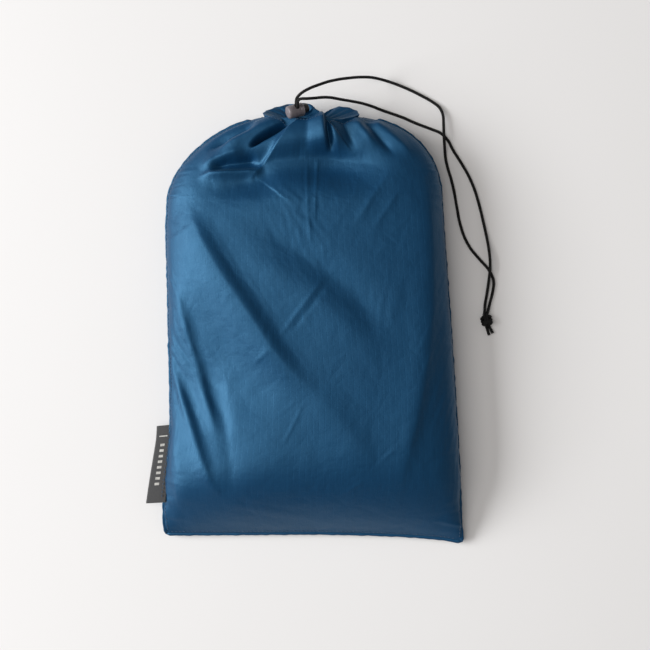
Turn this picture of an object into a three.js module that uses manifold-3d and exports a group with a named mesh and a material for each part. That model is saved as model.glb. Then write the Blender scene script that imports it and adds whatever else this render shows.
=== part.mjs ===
// A filled drawcord stuff sack lying on its back, in millimetres.
// +X is to the sack's right, +Y runs towards its mouth and +Z points up. z = 0 is the surface it lies on.
// The fabric is modelled as 0.8 mm shells round a soft load, gathered at the mouth by a cord and a cord lock.
import * as THREE from "three";
import { mergeVertices } from "three/addons/utils/BufferGeometryUtils.js";
import Module from "manifold-3d";

// ------------------------------------------------------------------ driving dimensions

const FABRIC = 0.8; // wall of every fabric shell
const GAP = 0.35; // clearance between neighbouring pieces
const ROUNDNESS = 2.6; // exponent of the body's section: 2 is an ellipse, more is boxier

// Sections of the filled body from the bottom seam to the neck: the left and right edges, and the
// lowest and highest points. A lowest point under 0 is cut off flat by the surface.
const SECTIONS = [
  { y: -150, left: -113.5, right: 113.5, low: 1.5, high: 9 },
  { y: -146, left: -114, right: 112.5, low: -0.5, high: 20 },
  { y: -136, left: -114.5, right: 111.5, low: -2, high: 33 },
  { y: -116, left: -112.5, right: 110.5, low: -2.5, high: 42 },
  { y: -80, left: -108, right: 108.5, low: -2.5, high: 46 },
  { y: -40, left: -108.5, right: 106, low: -2.5, high: 47 },
  { y: 6, left: -109.7, right: 103, low: -2.5, high: 47 },
  { y: 40, left: -110, right: 100, low: -2.5, high: 47 },
  { y: 75, left: -111, right: 97.5, low: -2.5, high: 46 },
  { y: 97, left: -109.5, right: 96, low: -2, high: 44 },
  { y: 112, left: -107.5, right: 94, low: -1, high: 40 },
  { y: 124, left: -101, right: 91, low: 0.5, high: 36 },
  { y: 135, left: -89, right: 84, low: 3, high: 33 },
  { y: 145, left: -73, right: 74, low: 5, high: 31 },
  { y: 152, left: -60, right: 60, low: 7, high: 30 },
];
const LOAD_FIRST = 1; // the load fills the sack between these two sections
const LOAD_LAST = 10;

const PANEL_COLUMNS = 18; // facets across a panel
const PANEL_EDGE = 0.075; // angle between the seam's middle and a panel's edge, radians
const SEAM_EDGE = 0.045; // angle between the seam's middle and the seam's edge, radians
const SEAM_RISE = 0.5; // how far a seam stands proud of the panels

const BOTTOM_SEAM_DROP = 6; // how far the right bottom corner hangs below the seam's straight stretch
const BOTTOM_SEAM_WIDTH = 3.4;

// The gathered hem: a bunched ring that tapers towards its ruffled free edge.
const MOUTH = { x: -8, z: 18 };
const HEM_SECTIONS = [
  { y: 152.4, halfWidth: 54, halfHeight: 11 },
  { y: 156, halfWidth: 47, halfHeight: 11 },
  { y: 160, halfWidth: 38, halfHeight: 10.5 },
  { y: 164, halfWidth: 31, halfHeight: 10 },
  { y: 168, halfWidth: 26, halfHeight: 9.5 },
];
const HEM_HOLE = 0.22; // the cinched opening, as a share of the hem's outer size
const RUFFLES = 12;
const RUFFLE_DEPTH = 0.07; // at the free edge, as a share of the radius

const CORD_RADIUS = 1.1;
const CORD_SIDES = 8;
const CHANNEL = { y: 157, halfWidth: 24, halfHeight: 6.2, radius: 1.75 };
const EXIT = { x: -14.4, y: 157, turn: -60 }; // where the two tails leave the channel, side by side
const EXIT_ANGLE = 105.5; // the same place, degrees round the mouth
const EXIT_SPREAD = 7; // degrees on each side of the exit that the cord's loop stops short

// The cord lock's own frame: x along the plunger, z along the cord, the cord's hole at the origin.
const LOCK_ORIGIN = new THREE.Vector3(-13, 162, 39);
const LOCK_PLUNGER_AXIS = new THREE.Vector3(0.894, 0.29, -0.342).normalize();
const LOCK_CORD_AXIS = new THREE.Vector3(0.098, 0.619, 0.779);
const TAIL_OFFSET = 1.2; // each tail lies this far from the middle of the lock's hole
const TAIL_STRAIGHT = [-6.5, 11]; // the tails' straight stretch through the lock, along the cord axis
const TAIL_START_HEIGHT = 26.6;

const BARREL = { closed: -7.4, open: 5.4, radius: 4.8, bore: 3.8, wall: 0.9 };
const PLUNGER = { inner: -2.3, tip: 9.9, radius: 3.5 };
const LOCK_HOLE = { halfAlong: 1.45, halfAcross: 2.6 };
const PLUNGER_SLOT = { from: -1.4, to: 3.95 };
const SPRING = { turns: 3, wire: 0.2, radius: 2.5 };

const LABEL = { from: -71, to: -129, reach: 13.5, thickness: 1.1, high: 19, low: 12 };
const THREAD_RADIUS = 0.35;
const HEM_THREAD_Y = 149;

// Routes of the two free tails from the end of the straight stretch to the knot.
const UPPER_TAIL = [
  [-9, 173, 51],
  [-3, 176.5, 51],
  [3.5, 179.5, 48],
  [10, 182.5, 43],
  [18, 185.5, 35.5],
  [26.5, 188, 27],
  [35, 190, 18.5],
  [44, 191, 10.5],
  [53, 190, 4.5],
  [62, 187.5, 1.8],
  [73, 183, 1.2],
  [82, 178.5, 1.2],
  [90, 174, 1.2],
  [95.5, 169.5, 1.8],
  [98, 164, 3],
  [98.5, 156, 4.2],
  [98.7, 148, 4.6],
  [99.3, 140, 3],
  [100.2, 131, 1.3],
  [102, 123, 1.2],
  [104.7, 114, 1.2],
  [107, 104, 1.2],
  [108.8, 93.5, 1.2],
  [111, 82, 1.2],
  [114.3, 71.5, 1.2],
  [119, 62.5, 1.2],
  [126, 54, 1.2],
  [133, 46, 1.2],
  [136.8, 37.5, 1.2],
  [136, 28.5, 1.2],
  [133.8, 20, 1.6],
  [132.3, 13.8, 2.4],
];
const LOWER_TAIL = [
  [-9.5, 168.8, 51],
  [-5.5, 168.9, 51.5],
  [0.5, 169.8, 48],
  [6.5, 171.2, 42.5],
  [12.5, 172, 36],
  [20, 172, 27],
  [28.5, 172, 17.5],
  [36.5, 171.5, 10],
  [44, 170, 5],
  [51.5, 167.5, 2],
  [59, 165, 1.2],
  [67.5, 162, 1.2],
  [77, 157.8, 1.2],
  [88, 153.6, 1.2],
  [96.5, 150, 1.2],
  [102, 144.5, 1.2],
  [106, 137, 1.2],
  [111.8, 127.8, 1.2],
  [117.5, 118, 1.2],
  [122.3, 107, 1.2],
  [126.3, 93.5, 1.2],
  [129.3, 81, 1.2],
  [131.8, 69, 2],
  [133.4, 58, 3.8],
  [133.9, 48.5, 4.6],
  [133, 38, 3.4],
  [131.6, 27, 1.4],
  [130.2, 19, 1.6],
  [129.9, 13.8, 2.4],
];
const TAIL_STEPS = 40;

const KNOT = { x: 130.8, y: 8, z: 3.5, halfWidth: 4.6, halfLength: 5, halfHeight: 3.4 };
const KNOT_STUBS = [
  [136.4, -2.5, 1.35],
  [132.6, -4.5, 1.35],
];

// ------------------------------------------------------------------ materials

const wovenBlue = material(0x1d4a73, 0.62);
const seamBlue = material(0x173c5e, 0.7);
const threadBlue = material(0x2a5f8c, 0.75);
const cordBlack = material(0x121214, 0.85);
const lockGrey = material(0x6d6a73, 0.45);
const plungerBlack = material(0x1a1a1c, 0.45);
const springSteel = material(0xb9bcc0, 0.3, 1);
const labelCharcoal = material(0x46433f, 0.85);
const loadFabric = material(0x8d9298, 0.9);

function material(color, roughness, metalness = 0) {
  return new THREE.MeshStandardMaterial({ color, roughness, metalness });
}

// ------------------------------------------------------------------ helpers

function piece(name, geometry, ownMaterial) {
  const mesh = new THREE.Mesh(geometry, ownMaterial);
  mesh.name = name;
  return mesh;
}

// Moves every vertex of a geometry to the place that a function gives for it.
function reshape(geometry, place) {
  const position = geometry.getAttribute("position");
  const point = new THREE.Vector3();
  for (let i = 0; i < position.count; i += 1) {
    place(point.fromBufferAttribute(position, i));
    position.setXYZ(i, point.x, point.y, point.z);
  }
  geometry.computeVertexNormals();
  return geometry;
}

function lerpRecord(a, b, share) {
  const mixed = {};
  for (const key of Object.keys(a)) mixed[key] = THREE.MathUtils.lerp(a[key], b[key], share);
  return mixed;
}

// The section of a list at any y, straight between the sections listed.
function sectionAt(sections, y) {
  const last = sections.length - 2;
  let i = 0;
  while (i < last && y > sections[i + 1].y) i += 1;
  const share = (y - sections[i].y) / (sections[i + 1].y - sections[i].y);
  return lerpRecord(sections[i], sections[i + 1], share);
}

// A point on the body's skin: the angle runs from 0 on the right over the top to 180 degrees on the left.
function skinPoint(section, angle, inset, target = new THREE.Vector3()) {
  const halfWidth = (section.right - section.left) / 2 - inset;
  const halfHeight = (section.high - section.low) / 2 - inset;
  const cos = Math.cos(angle);
  const sin = Math.sin(angle);
  const power = 2 / ROUNDNESS;
  const x = (section.left + section.right) / 2 + halfWidth * Math.sign(cos) * Math.abs(cos) ** power;
  const z = (section.low + section.high) / 2 + halfHeight * Math.sign(sin) * Math.abs(sin) ** power;
  return target.set(x, section.y, Math.max(z, inset));
}

// A fabric shell over part of the body's girth, one row of facets between each two sections.
function skinShell(fromAngle, toAngle, columns, outerInset) {
  const rows = SECTIONS.length - 1;
  return reshape(new THREE.BoxGeometry(1, 1, 1, columns, rows, 1), (point) => {
    const section = SECTIONS[Math.round((point.y + 0.5) * rows)];
    const angle = THREE.MathUtils.lerp(fromAngle, toAngle, point.x + 0.5);
    skinPoint(section, angle, point.z > 0 ? outerInset : FABRIC, point);
  });
}

function discShape(radius, sides) {
  const shape = new THREE.Shape();
  for (let i = 0; i < sides; i += 1) {
    const angle = (2 * Math.PI * i) / sides;
    const x = radius * Math.cos(angle);
    const y = radius * Math.sin(angle);
    if (i === 0) shape.moveTo(x, y);
    else shape.lineTo(x, y);
  }
  shape.closePath();
  return shape;
}

function ellipseShape(halfWidth, halfHeight, sides) {
  const shape = new THREE.Shape();
  const points = new THREE.EllipseCurve(0, 0, halfWidth, halfHeight).getPoints(sides);
  return shape.setFromPoints(points.slice(0, sides));
}

function tube(points, radius, steps, sides) {
  const extrudePath = new THREE.CatmullRomCurve3(points, false, "centripetal");
  return new THREE.ExtrudeGeometry(discShape(radius, sides), { steps, extrudePath, bevelEnabled: false });
}

// ------------------------------------------------------------------ boolean joins and cuts

const wasm = await Module();
wasm.setup();

function toSolid(geometry) {
  const bare = geometry.clone();
  for (const name of Object.keys(bare.attributes)) {
    if (name !== "position") bare.deleteAttribute(name);
  }
  const merged = mergeVertices(bare, 1e-4);
  return new wasm.Manifold(
    new wasm.Mesh({
      numProp: 3,
      vertProperties: new Float32Array(merged.getAttribute("position").array),
      triVerts: new Uint32Array(merged.index.array),
    }),
  );
}

function toGeometry(solid) {
  const mesh = solid.getMesh();
  const geometry = new THREE.BufferGeometry();
  geometry.setAttribute("position", new THREE.BufferAttribute(mesh.vertProperties, 3));
  geometry.setIndex(new THREE.BufferAttribute(mesh.triVerts, 1));
  geometry.computeVertexNormals();
  return geometry;
}

// ------------------------------------------------------------------ load, panels and seams

// The packed load: a slab with the body's sections, inset by the fabric and a clearance.
function packedLoad() {
  const filled = SECTIONS.slice(LOAD_FIRST, LOAD_LAST + 1);
  const profile = filled.map((section) => new THREE.Vector2(1, section.y));
  profile.unshift(new THREE.Vector2(0, filled[0].y));
  profile.push(new THREE.Vector2(0, filled.at(-1).y));
  return reshape(new THREE.LatheGeometry(profile, 24), (point) => {
    const section = filled.find((one) => Math.abs(one.y - point.y) < 0.01);
    const onSkin = Math.hypot(point.x, point.z) > 0.5;
    const middle = new THREE.Vector3(0, section.y, (section.low + section.high) / 2);
    middle.x = (section.left + section.right) / 2;
    if (onSkin) skinPoint(section, Math.atan2(point.z, point.x), FABRIC + GAP, point);
    else point.copy(middle);
  });
}

function frontPanel() {
  return skinShell(Math.PI - PANEL_EDGE, PANEL_EDGE, PANEL_COLUMNS, 0);
}

function backPanel() {
  return skinShell(-PANEL_EDGE, PANEL_EDGE - Math.PI, PANEL_COLUMNS, 0);
}

function rightSideSeam() {
  return skinShell(SEAM_EDGE, -SEAM_EDGE, 1, -SEAM_RISE);
}

function leftSideSeam() {
  return skinShell(SEAM_EDGE - Math.PI, -SEAM_EDGE - Math.PI, 1, -SEAM_RISE);
}

// The free edge of the bottom seam: straight, then hanging lower towards the right corner.
function bottomSeamEdge(x, section) {
  const share = Math.max(0, x / section.right);
  return section.y - GAP - BOTTOM_SEAM_WIDTH - BOTTOM_SEAM_DROP * share ** 3;
}

function bottomSeam() {
  const end = SECTIONS[0];
  return reshape(new THREE.BoxGeometry(1, 1, 1, 16, 1, 1), (point) => {
    const x = THREE.MathUtils.lerp(end.left, end.right, point.x + 0.5);
    const y = point.y > 0 ? end.y - GAP : bottomSeamEdge(x, end);
    point.set(x, y, (end.low + end.high) / 2 + 2.4 * point.z);
  });
}

// ------------------------------------------------------------------ hem, buttonhole and drawcord loop

function hemChannel() {
  const start = HEM_SECTIONS[0].y;
  const end = HEM_SECTIONS.at(-1).y;
  const profile = HEM_SECTIONS.map((section) => new THREE.Vector2(1, section.y));
  profile.push(new THREE.Vector2(HEM_HOLE, end));
  profile.push(new THREE.Vector2(HEM_HOLE, start));
  profile.push(new THREE.Vector2(1, start));
  const bunch = reshape(new THREE.LatheGeometry(profile, 48), (point) => {
    const section = sectionAt(HEM_SECTIONS, point.y);
    const angle = Math.atan2(point.z, point.x);
    const share = Math.hypot(point.x, point.z);
    const ruffle = 1 + RUFFLE_DEPTH * ((point.y - start) / (end - start)) * Math.cos(RUFFLES * angle);
    point.x = MOUTH.x + section.halfWidth * share * ruffle * Math.cos(angle);
    point.z = MOUTH.z + section.halfHeight * share * ruffle * Math.sin(angle);
  });
  const channel = tube(channelPoints(EXIT_SPREAD - 3), CHANNEL.radius, 44, CORD_SIDES);
  return toGeometry(toSolid(bunch).subtract(toSolid(channel)).subtract(toSolid(exitPassage())));
}

// Points round the channel, from one side of the exit to the other.
function channelPoints(spread) {
  const points = [];
  const count = 40;
  for (let i = 0; i <= count; i += 1) {
    const degrees = THREE.MathUtils.lerp(EXIT_ANGLE + spread, EXIT_ANGLE + 360 - spread, i / count);
    const angle = THREE.MathUtils.degToRad(degrees);
    const x = MOUTH.x + CHANNEL.halfWidth * Math.cos(angle);
    points.push(new THREE.Vector3(x, CHANNEL.y, MOUTH.z + CHANNEL.halfHeight * Math.sin(angle)));
  }
  return points;
}

function drawcordLoop() {
  return tube(channelPoints(EXIT_SPREAD), CORD_RADIUS, 36, CORD_SIDES);
}

// The way out for the two tails, cut upwards out of the channel.
function exitPassage() {
  const height = 10;
  const floor = MOUTH.z + CHANNEL.halfHeight - 1;
  const passage = new THREE.BoxGeometry(5.8, 3.2, height).rotateZ(THREE.MathUtils.degToRad(EXIT.turn));
  return passage.translate(EXIT.x, EXIT.y, floor + height / 2);
}

// A thread-bound oval lying on the hem where the cord leaves it.
function exitButtonhole() {
  const oval = ellipseShape(5.2, 4.6, 20);
  oval.holes.push(ellipseShape(3.7, 3.2, 20));
  const ring = new THREE.ExtrudeGeometry(oval, { depth: 0.7, bevelEnabled: false });
  ring.rotateZ(THREE.MathUtils.degToRad(EXIT.turn));
  return ring.translate(EXIT.x, EXIT.y, MOUTH.z + HEM_SECTIONS[0].halfHeight + GAP);
}

// ------------------------------------------------------------------ cord lock

function lockMatrix() {
  const across = new THREE.Vector3().crossVectors(LOCK_CORD_AXIS, LOCK_PLUNGER_AXIS).normalize();
  const up = new THREE.Vector3().crossVectors(LOCK_PLUNGER_AXIS, across);
  return new THREE.Matrix4().makeBasis(LOCK_PLUNGER_AXIS, across, up).setPosition(LOCK_ORIGIN);
}

function lockPoint(x, y, z) {
  return new THREE.Vector3(x, y, z).applyMatrix4(lockMatrix());
}

// A profile of [radius, place along the plunger axis] pairs, turned about the lock's x axis.
function turned(profile, sides) {
  const points = profile.map(([radius, along]) => new THREE.Vector2(radius, along));
  return new THREE.LatheGeometry(points, sides).rotateZ(-Math.PI / 2);
}

function slotCutter(from, to, halfAcross) {
  const round = Math.min(1, (to - from) / 2 - 0.1);
  const shape = new THREE.Shape();
  shape.moveTo(from + round, -halfAcross);
  shape.lineTo(to - round, -halfAcross);
  shape.lineTo(to, -halfAcross + round);
  shape.lineTo(to, halfAcross - round);
  shape.lineTo(to - round, halfAcross);
  shape.lineTo(from + round, halfAcross);
  shape.lineTo(from, halfAcross - round);
  shape.lineTo(from, -halfAcross + round);
  shape.closePath();
  const depth = 2 * BARREL.radius + 2;
  return new THREE.ExtrudeGeometry(shape, { depth, bevelEnabled: false }).translate(0, 0, -depth / 2);
}

function lockBarrel() {
  const { closed, open, radius, bore, wall } = BARREL;
  const body = turned(
    [
      [0, closed],
      [radius - 1.6, closed],
      [radius - 0.5, closed + 0.5],
      [radius, closed + 1.5],
      [radius, open - 0.4],
      [radius - 0.4, open],
      [bore, open],
      [bore, closed + wall],
      [0, closed + wall],
    ],
    28,
  );
  const hole = slotCutter(-LOCK_HOLE.halfAlong, LOCK_HOLE.halfAlong, LOCK_HOLE.halfAcross);
  return toGeometry(toSolid(body).subtract(toSolid(hole)));
}

function lockPlunger() {
  const { inner, tip, radius } = PLUNGER;
  const body = turned(
    [
      [0, inner],
      [radius, inner],
      [radius, tip - 1.2],
      [radius - 0.4, tip - 0.4],
      [radius - 1.3, tip],
      [0, tip],
    ],
    24,
  );
  const slot = slotCutter(PLUNGER_SLOT.from, PLUNGER_SLOT.to, LOCK_HOLE.halfAcross - 0.05);
  return toGeometry(toSolid(body).subtract(toSolid(slot)));
}

function lockSpring() {
  const from = BARREL.closed + BARREL.wall + SPRING.wire + 0.3;
  const to = PLUNGER.inner - SPRING.wire - 0.3;
  const points = [];
  const perTurn = 12;
  for (let i = 0; i <= SPRING.turns * perTurn; i += 1) {
    const angle = (2 * Math.PI * i) / perTurn;
    const x = THREE.MathUtils.lerp(from, to, i / (SPRING.turns * perTurn));
    points.push(new THREE.Vector3(x, SPRING.radius * Math.cos(angle), SPRING.radius * Math.sin(angle)));
  }
  return tube(points, SPRING.wire, SPRING.turns * perTurn, 5);
}

function cordLock() {
  const lock = new THREE.Group();
  lock.add(piece("cord_lock_barrel", lockBarrel(), lockGrey));
  lock.add(piece("cord_lock_plunger", lockPlunger(), plungerBlack));
  lock.add(piece("cord_lock_spring", lockSpring(), springSteel));
  lock.applyMatrix4(lockMatrix());
  return lock;
}

// ------------------------------------------------------------------ cord tails and knot

// A tail runs straight out of the channel through the lock, then along its own route to the knot.
function cordTail(side, route) {
  const turn = THREE.MathUtils.degToRad(EXIT.turn);
  const x = EXIT.x - side * TAIL_OFFSET * Math.cos(turn);
  const y = EXIT.y - side * TAIL_OFFSET * Math.sin(turn);
  const points = [new THREE.Vector3(x, y, TAIL_START_HEIGHT), new THREE.Vector3(x, y, TAIL_START_HEIGHT + 3)];
  const [from, to] = TAIL_STRAIGHT;
  for (const share of [0, 1 / 3, 2 / 3, 1]) {
    points.push(lockPoint(0, side * TAIL_OFFSET, THREE.MathUtils.lerp(from, to, share)));
  }
  for (const place of route) points.push(new THREE.Vector3(...place));
  return tube(points, CORD_RADIUS, TAIL_STEPS, CORD_SIDES);
}

// An overhand knot as one rounded lump, with the two cut ends standing out of it.
function endKnot() {
  const lump = new THREE.SphereGeometry(1, 16, 10);
  lump.scale(KNOT.halfWidth, KNOT.halfLength - GAP, KNOT.halfHeight).translate(KNOT.x, KNOT.y, KNOT.z);
  let knot = toSolid(lump);
  for (const [x, y, z] of KNOT_STUBS) {
    const points = [new THREE.Vector3(KNOT.x, KNOT.y, KNOT.z), new THREE.Vector3(x, y, z)];
    knot = knot.add(toSolid(tube(points, CORD_RADIUS, 2, CORD_SIDES)));
  }
  return toGeometry(knot);
}

// ------------------------------------------------------------------ label and seam threads

// A folded woven tab caught in the left side seam.
function sideLabel() {
  return reshape(new THREE.BoxGeometry(1, 1, 1, 2, 4, 1), (point) => {
    const y = THREE.MathUtils.lerp(LABEL.to, LABEL.from, point.y + 0.5);
    const seam = sectionAt(SECTIONS, y).left - SEAM_RISE - GAP;
    const out = 0.5 - point.x;
    const z = THREE.MathUtils.lerp(LABEL.high, LABEL.low, out ** 1.5);
    point.set(seam - LABEL.reach * out, y, z + LABEL.thickness * point.z);
  });
}

// A line of stitching along the body's length, lying on the front panel beside a side seam.
function sideSeamThread(angle) {
  const points = SECTIONS.slice(1).map((section) => {
    return skinPoint(section, angle, -(THREAD_RADIUS + GAP));
  });
  return tube(points, THREAD_RADIUS, 26, 5);
}

function bottomSeamThread() {
  const end = SECTIONS[0];
  const points = [];
  for (let i = 0; i <= 16; i += 1) {
    const x = THREE.MathUtils.lerp(end.left + 2, end.right - 2, i / 16);
    const y = (end.y - GAP + bottomSeamEdge(x, end)) / 2;
    points.push(new THREE.Vector3(x, y, (end.low + end.high) / 2 + 1.2 + GAP + THREAD_RADIUS));
  }
  return tube(points, THREAD_RADIUS, 20, 5);
}

// The stitching that closes the drawcord channel, over the top of the neck.
function hemThread() {
  const section = sectionAt(SECTIONS, HEM_THREAD_Y);
  const points = [];
  for (let i = 0; i <= 24; i += 1) {
    const angle = THREE.MathUtils.lerp(Math.PI * 0.93, Math.PI * 0.07, i / 24);
    points.push(skinPoint(section, angle, -(THREAD_RADIUS + 2 * GAP)));
  }
  return tube(points, THREAD_RADIUS, 24, 5);
}

function labelThread() {
  const points = [];
  for (let i = 0; i <= 8; i += 1) {
    const y = THREE.MathUtils.lerp(LABEL.from - 1, LABEL.to + 1, i / 8);
    const seam = sectionAt(SECTIONS, y).left - SEAM_RISE - GAP;
    const z = LABEL.high + LABEL.thickness / 2 + THREAD_RADIUS + GAP;
    points.push(new THREE.Vector3(seam - 1.6, y, z));
  }
  return tube(points, THREAD_RADIUS, 8, 5);
}

// ------------------------------------------------------------------ the assembly

const stuffSack = new THREE.Group();
stuffSack.add(piece("packed_load", packedLoad(), loadFabric));
stuffSack.add(piece("front_panel", frontPanel(), wovenBlue));
stuffSack.add(piece("back_panel", backPanel(), wovenBlue));
stuffSack.add(piece("left_side_seam", leftSideSeam(), seamBlue));
stuffSack.add(piece("right_side_seam", rightSideSeam(), seamBlue));
stuffSack.add(piece("bottom_seam", bottomSeam(), seamBlue));
stuffSack.add(piece("hem_channel", hemChannel(), wovenBlue));
stuffSack.add(piece("exit_buttonhole", exitButtonhole(), threadBlue));
stuffSack.add(piece("drawcord_loop", drawcordLoop(), cordBlack));
stuffSack.add(piece("cord_tail_upper", cordTail(1, UPPER_TAIL), cordBlack));
stuffSack.add(piece("cord_tail_lower", cordTail(-1, LOWER_TAIL), cordBlack));
stuffSack.add(piece("end_knot", endKnot(), cordBlack));
stuffSack.add(cordLock());
stuffSack.add(piece("side_label", sideLabel(), labelCharcoal));
stuffSack.add(piece("left_seam_thread", sideSeamThread(Math.PI - 0.16), threadBlue));
stuffSack.add(piece("right_seam_thread", sideSeamThread(0.16), threadBlue));
stuffSack.add(piece("bottom_seam_thread", bottomSeamThread(), threadBlue));
stuffSack.add(piece("hem_thread", hemThread(), threadBlue));
stuffSack.add(piece("label_thread", labelThread(), threadBlue));

export default stuffSack;
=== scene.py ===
"""A filled drawcord stuff sack of blue ripstop nylon, lying on its back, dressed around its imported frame.

Lengths in the tables below are millimetres in the frame's own axes; MM turns them into Blender's metres.
"""
import math

import bmesh
import bpy
import numpy as np
from mathutils import Matrix, Vector


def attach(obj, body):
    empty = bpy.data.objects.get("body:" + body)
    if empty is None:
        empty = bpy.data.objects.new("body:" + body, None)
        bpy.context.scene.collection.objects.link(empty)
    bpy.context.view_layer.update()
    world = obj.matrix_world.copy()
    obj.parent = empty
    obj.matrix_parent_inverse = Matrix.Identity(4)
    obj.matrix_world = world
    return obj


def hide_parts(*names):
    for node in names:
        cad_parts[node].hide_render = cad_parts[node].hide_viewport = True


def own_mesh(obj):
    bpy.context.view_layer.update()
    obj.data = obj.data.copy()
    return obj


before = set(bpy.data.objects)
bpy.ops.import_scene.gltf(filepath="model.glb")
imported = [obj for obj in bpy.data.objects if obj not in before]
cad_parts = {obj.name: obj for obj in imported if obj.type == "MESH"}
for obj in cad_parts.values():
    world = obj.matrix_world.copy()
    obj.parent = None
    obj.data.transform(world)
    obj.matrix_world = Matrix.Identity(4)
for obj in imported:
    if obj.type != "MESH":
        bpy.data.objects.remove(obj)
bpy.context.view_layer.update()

MM = 0.001
TABLE_GAP = 0.15  # the fabric's lowest point above the table

# ------------------------------------------------------------------ small helpers


def smoothstep(x, low, high):
    t = np.clip((x - low) / (high - low), 0.0, 1.0)
    return t * t * (3 - 2 * t)


def link(name, mesh):
    obj = bpy.data.objects.new(name, mesh)
    bpy.context.scene.collection.objects.link(obj)
    return obj


def shade_smooth(obj):
    obj.data.polygons.foreach_set("use_smooth", [True] * len(obj.data.polygons))
    return obj


def grid_faces(rows, columns, closed=False):
    """Quads between the points of a grid stored row by row; closed joins the last column to the first."""
    j = np.arange(rows - 1)[:, None]
    i = np.arange(columns if closed else columns - 1)[None, :]
    k = (i + 1) % columns
    quads = np.stack([j * columns + i, j * columns + k, (j + 1) * columns + k, (j + 1) * columns + i], -1)
    return quads.reshape(-1, 4)


def new_mesh(name, points, faces, material=None, uv=None):
    """A mesh from points in millimetres, with their fabric coordinates as its UV map."""
    mesh = bpy.data.meshes.new(name)
    mesh.from_pydata((np.array(points).reshape(-1, 3) * MM).tolist(), [], faces)
    if uv is not None:
        layer = mesh.uv_layers.new(name="weave")
        corner = np.empty(len(mesh.loops), np.int64)
        mesh.loops.foreach_get("vertex_index", corner)
        layer.data.foreach_set("uv", uv.reshape(-1, 2)[corner].astype(np.float32).ravel())
    if material is not None:
        mesh.materials.append(material)
    return mesh


def square(name, half):
    """A flat square at height 0, from -half to half metres."""
    mesh = bpy.data.meshes.new(name)
    mesh.from_pydata([(-half, -half, 0), (half, -half, 0), (half, half, 0), (-half, half, 0)], [], [(0, 1, 2, 3)])
    return link(name, mesh)


def apply_modifiers(obj):
    done = bpy.data.meshes.new_from_object(obj.evaluated_get(bpy.context.evaluated_depsgraph_get()))
    obj.modifiers.clear()
    obj.data = done


def grid_object(name, points, material, uv, closed=False, flip=False):
    """A smooth object from a (rows, columns, 3) grid of points."""
    faces = grid_faces(*points.shape[:2], closed)
    if flip:
        faces = faces[:, ::-1]
    return shade_smooth(link(name, new_mesh(name, points, faces.tolist(), material, uv)))


def unit(vectors):
    """The same vectors, each of length 1."""
    return vectors / np.maximum(np.linalg.norm(vectors, axis=-1, keepdims=True), 1e-9)


def run_along(line):
    """Each point's distance from the start of its line."""
    return np.concatenate([[0], np.cumsum(np.linalg.norm(np.diff(line, axis=0), axis=1))])


def closed_ring(front, back):
    """Both sides' grids as one closed ring of columns, each shared edge taken once."""
    return np.concatenate([front, back[:, ::-1][:, 1:-1]], 1)


def uv_grid(u, v):
    """Fabric coordinates of a grid from those of its columns and of its rows."""
    return np.stack(np.broadcast_arrays(u[None, :], v[:, None]), -1)


def points_at(at, run, line):
    """Points at the distances `at` along a line whose own points lie at `run`."""
    return np.stack([np.interp(at, run, line[:, axis]) for axis in range(3)], 1)


def resample(line, spacing=1.0, count=None):
    """The same line with its points a constant distance apart: about `spacing`, or what `count` of them gives."""
    run = run_along(line)
    count = count or max(2, round(run[-1] / spacing) + 1)
    return points_at(np.linspace(0, run[-1], count), run, line)


def catmull_rom(points, spacing):
    """Points every `spacing` along a centripetal Catmull-Rom curve through the given ones."""
    p = np.asarray(points, float)
    p = np.vstack([2 * p[0] - p[1], p, 2 * p[-1] - p[-2]])
    fine = []
    for a, b, c, d in zip(p[:-3], p[1:-2], p[2:-1], p[3:]):
        t0 = 0.0
        t1 = t0 + np.linalg.norm(b - a) ** 0.5
        t2 = t1 + np.linalg.norm(c - b) ** 0.5
        t3 = t2 + np.linalg.norm(d - c) ** 0.5
        t = np.linspace(t1, t2, 24, endpoint=False)[:, None]
        ab = a * (t1 - t) / (t1 - t0) + b * (t - t0) / (t1 - t0)
        bc = b * (t2 - t) / (t2 - t1) + c * (t - t1) / (t2 - t1)
        cd = c * (t3 - t) / (t3 - t2) + d * (t - t2) / (t3 - t2)
        abc = ab * (t2 - t) / (t2 - t0) + bc * (t - t0) / (t2 - t0)
        bcd = bc * (t3 - t) / (t3 - t1) + cd * (t - t1) / (t3 - t1)
        fine.append(abc * (t2 - t) / (t2 - t1) + bcd * (t - t1) / (t2 - t1))
    fine = np.vstack(fine + [p[-2][None]])
    return resample(fine, spacing)


def normals_along(line):
    """Two normals that turn as little as they can along a line."""
    tangent = unit(np.gradient(line, axis=0))
    first = np.cross(tangent[0], (0.3, 0.2, 1.0))
    normal = [first / np.linalg.norm(first)]
    for t in tangent[1:]:
        n = normal[-1] - t * np.dot(normal[-1], t)
        normal.append(n / np.linalg.norm(n))
    normal = np.array(normal)
    return normal, np.cross(tangent, normal)


def tube_object(name, line, radius, sides, material, bumps=None):
    """A closed round tube along a line, in millimetres. bumps(angle, run) scales its radius."""
    normal, binormal = normals_along(line)
    run = run_along(line)
    angle = np.linspace(0, 2 * math.pi, sides, endpoint=False)
    size = radius * (np.ones((len(line), sides)) if bumps is None else bumps(angle[None, :], run[:, None]))
    points = line[:, None] + size[..., None] * (
        np.cos(angle)[None, :, None] * normal[:, None] + np.sin(angle)[None, :, None] * binormal[:, None]
    )
    faces = grid_faces(len(line), sides, True).tolist()
    last = (len(line) - 1) * sides
    faces += [list(range(sides))[::-1], [last + i for i in range(sides)]]
    uv = uv_grid(angle / (2 * math.pi), run)
    return shade_smooth(link(name, new_mesh(name, points, faces, material, uv)))


# ------------------------------------------------------------------ node material helpers


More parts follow.
